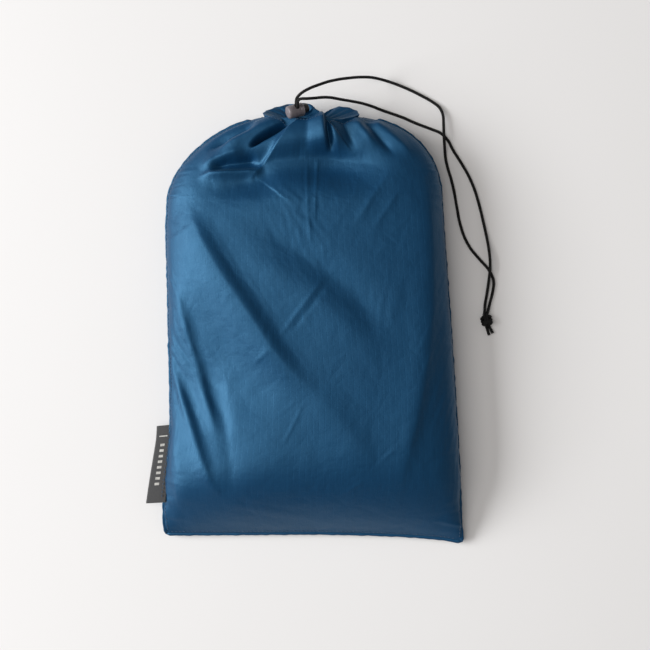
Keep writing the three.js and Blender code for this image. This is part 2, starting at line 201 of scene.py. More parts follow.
class Nodes:
    """Builds a material's node tree with short calls."""

    def __init__(self, name):
        self.material = bpy.data.materials.new(name)
        self.material.use_nodes = True
        self.tree = self.material.node_tree
        self.shader = self.tree.nodes["Principled BSDF"]

    def add(self, kind, **settings):
        node = self.tree.nodes.new("ShaderNode" + kind)
        for key, value in settings.items():
            setattr(node, key, value)
        return node

    def wire(self, source, target):
        self.tree.links.new(source, target)

    def put(self, socket, value):
        """Gives a socket a number, a colour or another node's output."""
        if isinstance(value, (int, float)):
            socket.default_value = value
        elif isinstance(value, tuple):
            socket.default_value = (*value, 1.0)
        else:
            self.wire(value, socket)

    def feed(self, kind, values, **settings):
        node = self.add(kind, **settings)
        for key, value in values.items():
            self.put(node.inputs[key], value)
        return node

    def math(self, operation, *values):
        return self.feed("Math", dict(enumerate(values)), operation=operation).outputs[0]

    def plus(self, a, b):
        return self.math("ADD", a, b)

    def times(self, a, b):
        return self.math("MULTIPLY", a, b)

    def mix_colour(self, factor, a, b):
        return self.feed("Mix", {0: factor, 6: a, 7: b}, data_type="RGBA").outputs[2]

    def noise(self, vector, scale, detail=2.0, roughness=0.5):
        values = {"Scale": scale, "Detail": detail, "Roughness": roughness, "Vector": vector}
        return self.feed("TexNoise", values).outputs["Fac"]

    def remap(self, value, from_low, from_high, to_low, to_high):
        return self.feed("MapRange", dict(enumerate((value, from_low, from_high, to_low, to_high)))).outputs[0]

    def bump(self, height, strength, distance, normal=None):
        values = {"Strength": strength, "Distance": distance, "Height": height}
        if normal is not None:
            values["Normal"] = normal
        return self.feed("Bump", values).outputs["Normal"]

    def set(self, **values):
        for key, value in values.items():
            self.put(self.shader.inputs[key.replace("_", " ")], value)

    def uv(self):
        node = self.add("UVMap", uv_map="weave")
        split = self.add("SeparateXYZ")
        self.wire(node.outputs["UV"], split.inputs[0])
        return node.outputs["UV"], split.outputs[0], split.outputs[1]

    def place(self):
        return self.add("TexCoord").outputs["Object"]


# ------------------------------------------------------------------ materials

GRID = 4.3  # ripstop grid, mm
THREAD_PITCH = 0.42  # visible weave, mm


def line_mask(n, coordinate, pitch, width):
    """1 on a line every `pitch`, of about `width`, and 0 between."""
    wave = n.math("PINGPONG", coordinate, pitch / 2)
    return n.remap(wave, width / 2, width, 1.0, 0.0)


def ripstop(name, base, rim):
    n = Nodes(name)
    uv, u, v = n.uv()
    across = n.times(line_mask(n, v, GRID, 0.26), 0.45)
    grid = n.math("MAXIMUM", line_mask(n, u, GRID, 0.3), across)
    weave = n.times(n.math("SINE", n.times(u, 2 * math.pi / THREAD_PITCH)),
                   n.math("SINE", n.times(v, 2 * math.pi / THREAD_PITCH)))
    place = n.place()
    cloud = n.noise(place, 14.0, 3.0)
    streak_map = n.add("Mapping")
    streak_map.inputs["Scale"].default_value = (0.9, 0.05, 1.0)
    n.wire(uv, streak_map.inputs["Vector"])
    streak = n.noise(streak_map.outputs[0], 1.4, 4.0, 0.65)
    tone = n.plus(n.remap(cloud, 0.3, 0.7, -0.12, 0.12), n.remap(streak, 0.3, 0.7, -0.2, 0.2))
    tone = n.plus(n.plus(tone, 0.5), n.times(grid, 0.24))
    colour = n.mix_colour(tone, base, rim)
    crumple = n.noise(place, 90.0, 3.0, 0.55)
    warp = n.feed("TexNoise", {"Scale": 30.0, "Vector": place}).outputs["Color"]
    bent = n.add("VectorMath", operation="MULTIPLY_ADD")
    bent.inputs[1].default_value = (0.03, 0.03, 0.03)
    n.wire(warp, bent.inputs[0])
    n.wire(place, bent.inputs[2])
    facets = n.feed("TexVoronoi", {"Scale": 46.0, "Vector": bent.outputs[0]}, feature="DISTANCE_TO_EDGE")
    creases = n.remap(facets.outputs["Distance"], 0.0, 0.35, 0.0, 1.0)
    normal = n.bump(crumple, 0.32, 0.0013, n.bump(creases, 0.3, 0.0005))
    normal = n.bump(grid, 0.4, 0.00007, normal)
    normal = n.bump(weave, 0.25, 0.00004, normal)
    n.set(Base_Color=colour, Normal=normal, Roughness=n.remap(streak, 0.3, 0.7, 0.44, 0.54))
    n.set(Specular_IOR_Level=0.95, Specular_Tint=(0.22, 0.62, 1.0))
    n.set(Sheen_Weight=0.05, Sheen_Roughness=0.45, Sheen_Tint=(0.25, 0.6, 0.9))
    return n.material


def sewing_thread(name, colour):
    n = Nodes(name)
    _, u, v = n.uv()
    twist = n.math("SINE", n.times(n.plus(u, n.times(v, 1.6)), 4 * math.pi))
    # The thread's colour is painted darker, down to 0.55 of itself, in the twist's grooves where its bump is
    # lowest: painted shade.
    shade = n.mix_colour(n.remap(twist, -1, 1, 0.0, 1.0), tuple(c * 0.55 for c in colour), colour)
    n.set(Base_Color=shade, Normal=n.bump(twist, 0.6, 0.00008), Roughness=0.6, Sheen_Weight=0.3)
    return n.material


def braided_cord(name):
    n = Nodes(name)
    _, u, v = n.uv()
    right = n.math("SINE", n.times(n.plus(n.times(u, 8.0), v), 2 * math.pi))
    left = n.math("SINE", n.times(n.math("SUBTRACT", n.times(u, 8.0), v), 2 * math.pi))
    braid = n.times(right, left)
    fibre = n.noise(n.place(), 2600.0, 2.0)
    # The colour is painted darker where the braid's bump is lowest: painted shade in the hollows between the
    # strands.
    colour = n.mix_colour(n.remap(braid, -1, 1, 0.0, 1.0), (0.002, 0.0018, 0.0018), (0.006, 0.0055, 0.0055))
    normal = n.bump(fibre, 0.4, 0.0001, n.bump(braid, 0.7, 0.00014))
    n.set(Base_Color=colour, Normal=normal, Roughness=0.72, Specular_IOR_Level=0.3)
    return n.material


def moulded_plastic(name, colour, roughness):
    n = Nodes(name)
    place = n.place()
    grain = n.noise(place, 4200.0, 2.0)
    scuff = n.noise(place, 420.0, 4.0, 0.7)
    worn = tuple(min(1, c * 1.35 + 0.01) for c in colour)
    shade = n.mix_colour(n.remap(scuff, 0.35, 0.75, 0.0, 1.0), colour, worn)
    n.set(Base_Color=shade, Normal=n.bump(grain, 0.3, 0.00003))
    n.set(Roughness=n.remap(scuff, 0.3, 0.7, roughness - 0.06, roughness + 0.1))
    return n.material


def spring_wire(name):
    n = Nodes(name)
    drawn = n.noise(n.place(), 900.0, 3.0)
    n.set(Base_Color=n.mix_colour(drawn, (0.42, 0.42, 0.44), (0.62, 0.62, 0.64)), Metallic=1.0)
    n.set(Roughness=n.remap(drawn, 0.3, 0.7, 0.22, 0.38))
    return n.material


def woven_label(name):
    """Charcoal tape with plain woven bars and dots in place of any mark."""
    n = Nodes(name)
    _, u, v = n.uv()
    rib = n.math("SINE", n.times(v, 2 * math.pi / 0.5))
    pick = n.math("SINE", n.times(u, 2 * math.pi / 0.42))
    weave = n.times(rib, pick)
    place = n.place()
    worn = n.noise(place, 300.0, 3.0)
    # The tape's ground colour is painted darker in the weave's hollows, where its bump is lowest: painted shade.
    ground_with_weave_shade = n.mix_colour(n.remap(weave, -1, 1, 0.1, 0.9), (0.02, 0.02, 0.021), (0.04, 0.04, 0.041))
    in_row = n.math("COMPARE", u, 6.2, 1.7)
    bars = n.math("GREATER_THAN", n.math("PINGPONG", v, 2.1), 1.15)
    in_run = n.math("COMPARE", v, 30.0, 17.0)
    mark = n.times(n.times(in_row, bars), in_run)
    edge = n.math("COMPARE", v, 8.0, 0.45)
    mark = n.math("MAXIMUM", mark, n.times(edge, n.math("COMPARE", u, 6.2, 3.4)))
    mark = n.times(mark, n.remap(worn, 0.3, 0.6, 0.55, 0.9))
    n.set(Base_Color=n.mix_colour(mark, ground_with_weave_shade, (0.46, 0.45, 0.42)), Roughness=0.8, Sheen_Weight=0.2)
    n.set(Normal=n.bump(n.plus(weave, n.times(mark, 0.8)), 0.5, 0.00008))
    return n.material


def folded_garment(name):
    n = Nodes(name)
    place = n.place()
    fold = n.noise(place, 30.0, 4.0)
    # The cloth is painted darker in the fold hollows, where the bump is lowest: painted shade between the folds.
    n.set(Base_Color=n.mix_colour(fold, (0.2, 0.22, 0.25), (0.42, 0.44, 0.47)), Roughness=0.85)
    n.set(Normal=n.bump(fold, 0.6, 0.003), Sheen_Weight=0.3)
    return n.material


SACK_BLUE = ripstop("sack_ripstop", (0.0013, 0.022, 0.067), (0.0025, 0.036, 0.098))
SEAM_BLUE = ripstop("seam_ripstop", (0.0013, 0.022, 0.066), (0.0025, 0.035, 0.095))
THREAD_BLUE = sewing_thread("sewing_thread", (0.01, 0.07, 0.16))
CORD_BLACK = braided_cord("braided_cord")
LOCK_GREY = moulded_plastic("lock_grey", (0.13, 0.115, 0.125), 0.42)
LOCK_BLACK = moulded_plastic("lock_black", (0.012, 0.011, 0.012), 0.4)
SPRING_STEEL = spring_wire("spring_steel")
LABEL_TAPE = woven_label("label_tape")
LOAD_CLOTH = folded_garment("load_cloth")

# ------------------------------------------------------------------ camera, light and table

CAMERA_HEIGHT = 1.15
CAMERA_LENS = 83.4


def make_camera():
    data = bpy.data.cameras.new("camera")
    data.lens = CAMERA_LENS
    data.sensor_width = 36
    camera = bpy.data.objects.new("camera", data)
    camera.location = (8.25 * MM, 3.75 * MM, CAMERA_HEIGHT)
    bpy.context.scene.collection.objects.link(camera)
    bpy.context.scene.camera = camera


def area_light(name, location, target, size, power, colour=(1, 1, 1)):
    data = bpy.data.lights.new(name, "AREA")
    data.shape = "RECTANGLE"
    data.size, data.size_y = size
    data.energy = power
    data.color = colour
    light = bpy.data.objects.new(name, data)
    light.location = location
    light.rotation_euler = (Vector(target) - Vector(location)).to_track_quat("-Z", "Y").to_euler()
    bpy.context.scene.collection.objects.link(light)
    return light


def make_light():
    """A broad low window on the left, and a soft ceiling that fills the shadows."""
    area_light("window", (-3.2, 0.12, 1.7), (0, 0, 0), (2.4, 1.7), 171.0, (0.98, 0.99, 1.0))
    area_light("ceiling", (-0.9, 0.0, 2.7), (0.1, 0, 0), (1.6, 2.4), 31.0, (1.0, 0.975, 0.955))
    world = bpy.data.worlds.new("studio")
    world.use_nodes = True
    world.node_tree.nodes["Background"].inputs["Color"].default_value = (1.0, 0.965, 0.94, 1.0)
    world.node_tree.nodes["Background"].inputs["Strength"].default_value = 0.18
    bpy.context.scene.world = world
    bpy.context.scene.view_settings.view_transform = "Standard"


def make_table():
    n = Nodes("table_top")
    tint = n.noise(n.place(), 3.0, 3.0)
    n.set(Base_Color=n.mix_colour(tint, (0.80, 0.79, 0.785), (0.83, 0.822, 0.817)), Roughness=0.7)
    table = square("table", 2)
    table.data.materials.append(n.material)


make_camera()
make_light()
make_table()

# ------------------------------------------------------------------ drawcord tails and end knot

CORD_RADIUS = 1.1
CORD_SIDES = 20
CORD_STEP = 0.45
LOCK_ORIGIN = Vector((-13, 162, 39))
LOCK_PLUNGER_AXIS = Vector((0.894, 0.29, -0.342)).normalized()
LOCK_CORD_AXIS = Vector((0.098, 0.619, 0.779))
TAIL_OFFSET = 1.2
TAIL_STRAIGHT = (-6.5, 11)
EXIT = (-14.4, 157)
EXIT_TURN = math.radians(-60)
TAIL_START_HEIGHT = 26.6

UPPER_TAIL = [
    (-9, 173, 51), (-3, 176.5, 51), (3.5, 179.5, 48), (10, 182.5, 43), (18, 185.5, 35.5), (26.5, 188, 27),
    (35, 190, 18.5), (44, 191, 10.5), (53, 190, 4.5), (62, 187.5, 1.8), (73, 183, 1.2), (82, 178.5, 1.2),
    (90, 174, 1.2), (95.5, 169.5, 1.8), (98, 164, 3), (98.5, 156, 4.2), (98.7, 148, 4.6), (99.3, 140, 3),
    (100.2, 131, 1.3), (102, 123, 1.2), (104.7, 114, 1.2), (107, 104, 1.2), (108.8, 93.5, 1.2),
    (111, 82, 1.2), (114.3, 71.5, 1.2), (119, 62.5, 1.2), (126, 54, 1.2), (133, 46, 1.2),
    (136.8, 37.5, 1.2), (136, 28.5, 1.2), (133.8, 20, 1.6), (132.3, 13.8, 2.4),
]
LOWER_TAIL = [
    (-9.5, 168.8, 51), (-5.5, 168.9, 51.5), (0.5, 169.8, 48), (6.5, 171.2, 42.5), (12.5, 172, 36),
    (20, 172, 27), (28.5, 172, 17.5), (36.5, 171.5, 10), (44, 170, 5), (51.5, 167.5, 2), (59, 165, 1.2),
    (67.5, 162, 1.2), (77, 157.8, 1.2), (88, 153.6, 1.2), (96.5, 150, 1.2), (102, 144.5, 1.2),
    (106, 137, 1.2), (111.8, 127.8, 1.2), (117.5, 118, 1.2), (122.3, 107, 1.2), (126.3, 93.5, 1.2),
    (129.3, 81, 1.2), (131.8, 69, 2), (133.4, 58, 3.8), (133.9, 48.5, 4.6), (133, 38, 3.4),
    (131.6, 27, 1.4), (130.2, 19, 1.6), (129.9, 13.8, 2.4),
]


def lock_matrix():
    across = LOCK_CORD_AXIS.cross(LOCK_PLUNGER_AXIS).normalized()
    up = LOCK_PLUNGER_AXIS.cross(across)
    turn = Matrix((LOCK_PLUNGER_AXIS, across, up)).transposed().to_4x4()
    return Matrix.Translation(LOCK_ORIGIN) @ turn


LOCK = lock_matrix()


def braid_bumps(angle, run):
    pitch = 2.4
    right = np.sin(4 * angle + 2 * math.pi * run / pitch)
    left = np.sin(4 * angle - 2 * math.pi * run / pitch)
    return 1 + 0.035 * right * left


def make_tail(name, node, side, route):
    """One tail, from the buttonhole through the lock and along its route to the knot."""
    x = EXIT[0] - side * TAIL_OFFSET * math.cos(EXIT_TURN)
    y = EXIT[1] - side * TAIL_OFFSET * math.sin(EXIT_TURN)
    points = [(x, y, TAIL_START_HEIGHT), (x, y, TAIL_START_HEIGHT + 3)]
    low, high = TAIL_STRAIGHT
    for share in (0, 1 / 3, 2 / 3, 1):
        points.append(tuple(LOCK @ Vector((0, side * TAIL_OFFSET, low + share * (high - low)))))
    line = catmull_rom(points + route, CORD_STEP)
    tail = tube_object(name, line, CORD_RADIUS, CORD_SIDES, CORD_BLACK, braid_bumps)
    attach(tail, "sack")
    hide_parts(node)
    return tail, line


upper_tail, upper_line = make_tail("upper_tail", "cord_tail_upper", 1, UPPER_TAIL)
lower_tail, lower_line = make_tail("lower_tail", "cord_tail_lower", -1, LOWER_TAIL)

KNOT_CENTRE = np.array((131.2, 7.3, 3.7))
KNOT_AXIS = np.array((0.24, -0.971, 0.0))  # from the tails towards the cut ends
KNOT_ACROSS = np.array((0.971, 0.24, 0.0))
KNOT_RADIUS = (3.5, 2.45)  # of the wraps' centre line, across and up


def knot_strand(side, tail, end):
    """One strand of a doubled overhand knot: down through the core, up in a wrap, back through and out."""
    def at(run, across, up):
        return (KNOT_CENTRE + run * KNOT_AXIS + across * KNOT_ACROSS + (0, 0, up)).tolist()

    points = [tail[-9].tolist(), tail[-2].tolist(), at(-3.6, side * 1.0, 0.5), at(-1.2, side * 0.9, 0.9),
              at(1.6, side * 0.9, 0.9)]
    wide, tall = KNOT_RADIUS
    points.append(at(3.1, side * 1.9, 0.9))
    for step in range(13):
        turn = math.radians(10 + 30 * step)
        points.append(at(2.3 - 0.36 * step, side * wide * math.cos(turn), tall * math.sin(turn)))
    points += [at(-2.9, side * 1.8, -0.3), at(-1.4, -side * 0.7, -0.9), at(1.6, -side * 0.9, -1.1),
               at(4.4, -side * 1.0, -1.9), end]
    return catmull_rom(points, 0.35)


def make_knot():
    strands = []
    for side, line, end in ((1, upper_line, (133.4, -3.9, 1.3)), (-1, lower_line, (136.2, -2.4, 1.3))):
        strand = knot_strand(side, line, end)
        strands.append(tube_object("strand", strand, CORD_RADIUS, CORD_SIDES, CORD_BLACK, braid_bumps))
    bpy.ops.object.select_all(action="DESELECT")
    for strand in strands:
        strand.select_set(True)
    bpy.context.view_layer.objects.active = strands[0]
    bpy.ops.object.join()
    knot = strands[0]
    knot.name = "end_overhand_knot"
    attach(knot, "sack")
    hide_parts("end_knot")
    return knot


make_knot()

# ------------------------------------------------------------------ the sack's smooth form

# Edges and heights of the filled body at stations along its length.
BODY_Y = (-155, -146, -136, -116, -80, -40, 6, 40, 75, 97)
BODY_LEFT = (-113, -113.6, -113.6, -111.6, -107.2, -107.6, -108.8, -109.4, -110.6, -109.5)
BODY_RIGHT = (113, 111.6, 110.5, 109.6, 107.5, 105, 102, 99.4, 97, 95.5)
BOTTOM_EDGE_X = (-114, -60, 0, 40, 70, 95, 115)
BOTTOM_EDGE_Y = (-155.2, -154.9, -154.4, -155.2, -156.4, -158.4, -161.6)
BOTTOM_START = -155.0
BOTTOM_ROUNDING = 70.0  # how far from the bottom seam the load's end curves down
LOAD_TOP = 45.5
SEAM_HEIGHT = 18.0
CREST_X = -26.0  # where the load lies highest
LEFT_POWER = 2.0
RIGHT_POWER = 2.75
UNDER_POWER = 2.3

SHOULDER_Y = 97.0
MOUTH = np.array((-2.0, 157.5, 26.0))
MOUTH_HALF = (35.0, 11.0)
MOUTH_TILT = math.radians(22)

# The top falls away to the left of a line that runs down across the front.
FALL_LINE = ((-112, 112), (-66, 42), (-30, -12), (-7, -41), (-22, -63), (-40, -87), (-61, -123), (-80, -155))
FALL_SLOPE_Y = (-150, -40, 60)
FALL_SLOPE = (0.22, 0.27, 0.33)

FRONT_COLUMNS = 240
BACK_COLUMNS = 150
BODY_ROWS = 200
NECK_ROWS = 120
HEM_ROWS = 44
ROWS = BODY_ROWS + NECK_ROWS


def smooth(values, width):
    """Evens out a 1-D run of values with a rounded window, keeping its ends."""
    kernel = np.hanning(2 * width + 1)
    kernel /= kernel.sum()
    before = 2 * values[0] - values[width:0:-1]
    after = 2 * values[-1] - values[-2:-width - 2:-1]
    return np.convolve(np.concatenate([before, values, after]), kernel, "valid")


def body_outline(y):
    fine = np.linspace(BODY_Y[0], BODY_Y[-1], 400)
    left = smooth(np.interp(fine, BODY_Y, BODY_LEFT), 14)
    right = smooth(np.interp(fine, BODY_Y, BODY_RIGHT), 14)
    return np.interp(y, fine, left), np.interp(y, fine, right)


def body_heights(run):
    """Highest and lowest points of a section and its seam's height, `run` from the bottom seam."""
    q = np.clip(run / BOTTOM_ROUNDING, 0, 1)
    rise = 1 - (1 - q) ** 2.4
    seam = 4.5 + (SEAM_HEIGHT - 4.5) * rise
    high = seam + (LOAD_TOP - SEAM_HEIGHT) * rise * (1 + 0.04 * np.sin(np.pi * np.clip(run / 250, 0, 1)))
    low = seam - (seam + 2.5) * rise
    return high, low, seam


def section_curve(left, right, high, low, seam, angles):
    """Points round one side of a section, from the left seam to the right one."""
    cos, sin = np.cos(angles), np.sin(angles)
    above = sin >= 0
    power = np.where(above, np.where(cos < 0, LEFT_POWER, RIGHT_POWER), UNDER_POWER)
    middle = np.where(above, CREST_X, (left + right) / 2)
    half = np.where(cos < 0, middle - left, right - middle)
    x = middle + half * np.sign(cos) * np.abs(cos) ** (2 / power)
    reach = np.where(above, high - seam, seam - low)
    z = seam + reach * np.sign(sin) * np.abs(sin) ** (2 / power)
    return x, np.maximum(z, TABLE_GAP)


def fall_away(x, y, z):
    """Lowers the top where it lies left of FALL_LINE, with a rounded edge."""
    line = np.array(FALL_LINE, float)
    fine = np.linspace(-170, 120, 300)
    ridge_x = np.interp(y, fine, smooth(np.interp(fine, line[::-1, 1], line[::-1, 0]), 24))
    plane = LOAD_TOP + 1.5 - np.interp(y, FALL_SLOPE_Y, FALL_SLOPE) * (ridge_x - x)
    softness = 2.2
    return -softness * np.logaddexp(-z / softness, -plane / softness)


# Lobes of the gathered hem, as (angle round the mouth in degrees, height, width in degrees). 0 is the right
# seam, 90 the front's middle and 180 the left seam.
LOBES = ((8, 0.9, 9), (30, 0.7, 9), (50, 0.6, 9), (142, 0.7, 8), (162, 0.9, 8), (184, 1.0, 8), (203, 1.1, 8),
         (221, 0.9, 7), (240, 1.3, 9), (262, 1.2, 8), (284, -0.9, 7), (302, 1.2, 9), (322, 0.9, 8), (341, 1.0, 8))

# How far the hem stands out past the mouth, round the mouth in degrees.
HEM_ANGLE = (0, 30, 50, 64, 73, 82, 89, 96, 104, 113, 125, 150, 180, 205, 225, 245, 257, 270, 277, 283, 287,
             293, 305, 320, 340, 360)
HEM_REACH = (4.2, 3.2, 2.2, 2.4, 5.6, 9.6, 10.8, 9.2, 6.4, 4.0, 3.0, 3.6, 4.4, 5.6, 7.4, 8.8, 9.4, 8.6, 5.0, 2.4,
             2.4, 4.6, 7.4, 7.2, 5.6, 4.2)


def lobes(angles):
    """Outward swell of the gathers at angles round the mouth, about zero on average."""
    degrees = np.degrees(angles) % 360
    wave = np.zeros(np.shape(angles))
    for centre, height, width in LOBES:
        apart = np.abs((degrees - centre + 180) % 360 - 180)
        wave += height * np.exp(-((apart / width) ** 1.5))
    return (wave - 0.45) * (0.35 + 0.65 * np.abs(np.sin(angles)))


def mouth_point(angles, grow=1.0, out=0.0, swell=0.0):
    """A point of the mouth's oval, which tips up by MOUTH_TILT. out runs along its axis."""
    across = (MOUTH_HALF[0] * grow + swell) * np.cos(angles)
    up = (MOUTH_HALF[1] * grow + swell) * np.sin(angles)
    y = MOUTH[1] + out * math.cos(MOUTH_TILT) - up * math.sin(MOUTH_TILT)
    z = MOUTH[2] + up * math.cos(MOUTH_TILT) + out * math.sin(MOUTH_TILT)
    return np.stack([MOUTH[0] + across, y, z], -1)


def mouth_angles(front, columns):
    """Angles round the mouth whose points are a constant distance apart."""
    angles = np.linspace(math.pi, 0, 500) if front else np.linspace(-math.pi, 0, 500)
    run = run_along(mouth_point(angles))
    return np.interp(np.linspace(0, run[-1], columns), run, angles)


def hem_profile(s):
    """How the hem runs on from the mouth at s from 0 to 1: its share of HEM_REACH, its depth in the throat, its
    width and its share of the lobes."""
    stations = (0.0, 0.12, 0.26, 0.40, 0.52, 0.62, 0.70, 0.80, 0.9, 1.0)
    out = (0.0, 0.12, 0.38, 0.72, 0.96, 1.0, 0.9, 0.62, 0.35, 0.1)
    deep = (0.0, 0.0, 0.0, 0.0, 0.0, 0.0, 0.3, 1.4, 2.8, 4.2)
    grow = (1.0, 0.99, 0.995, 1.01, 1.02, 0.99, 0.88, 0.66, 0.40, 0.10)
    share = (0.6, 0.62, 0.75, 0.95, 1.15, 1.2, 1.25, 1.2, 0.9, 0.3)
    fine = np.linspace(0, 1, 200)
    return [np.interp(s, fine, smooth(np.interp(fine, stations, run), 9)) for run in (out, deep, grow, share)]


LOBE_HEIGHT = 2.6


def smooth_side(front, columns):
    """The smooth form of one side as a grid from the bottom seam (row 0) to the mouth."""
    angles = np.linspace(math.pi, 0, 500) if front else np.linspace(-math.pi, 0, 500)
    rows = []
    body_length = SHOULDER_Y - BOTTOM_START
    for q in np.linspace(0, 1, BODY_ROWS) ** 1.15:
        station = BOTTOM_START + q * body_length
        left, right = body_outline(station)
        high, low, seam = body_heights(q * body_length)
        x, z = section_curve(left, right, high, low, seam, angles)
        y = station + (np.interp(x, BOTTOM_EDGE_X, BOTTOM_EDGE_Y) - BOTTOM_START) * (1 - smoothstep(q, 0, 0.16))
        if front:
            z = np.where(z > seam, np.maximum(fall_away(x, y, z), seam), z)
        rows.append(resample(np.stack([x, y, z], -1), count=columns))
    shoulder = rows[-1]
    rim = mouth_point(mouth_angles(front, columns))
    bulge = 1.68 + 0.47 * np.linspace(0, 1, columns)  # the right shoulder is squarer than the left
    for w in np.linspace(0, 1, NECK_ROWS + 1)[1:]:
        turn = w * math.pi / 2
        along = math.sin(turn) ** (2 / bulge)
        inward = 1 - math.cos(turn) ** (2 / bulge)
        point = shoulder.copy()
        point[:, 0] += (rim[:, 0] - shoulder[:, 0]) * inward
        point[:, 1] += (rim[:, 1] - shoulder[:, 1]) * along
        point[:, 2] += (rim[:, 2] - shoulder[:, 2]) * (0.5 * inward + 0.5 * along)
        rows.append(point)
    return np.array(rows)


def grid_normals(points, front):
    """Unit normals of a side's grid, pointing out of the sack."""
    normal = unit(np.cross(np.gradient(points, axis=1), np.gradient(points, axis=0)))
    return normal if front else -normal


# ------------------------------------------------------------------ folds

def fold(height, left, right, fade, *line, edge=1.35, far_edge=None, taper=1.0):
    """One fold of the front panel: the height of its crest (minus for a valley), its reach to the left and right
    of its line, how it fades at the line's two ends, and the line's points in plan. A higher edge gives it a
    rounder top and steeper sides (far_edge for its right side), and a lower taper gives it narrower ends."""
    return dict(height=height, left=left, right=right, fade=fade, line=np.array(line, float), edge=edge,
                far_edge=far_edge or edge, taper=taper)


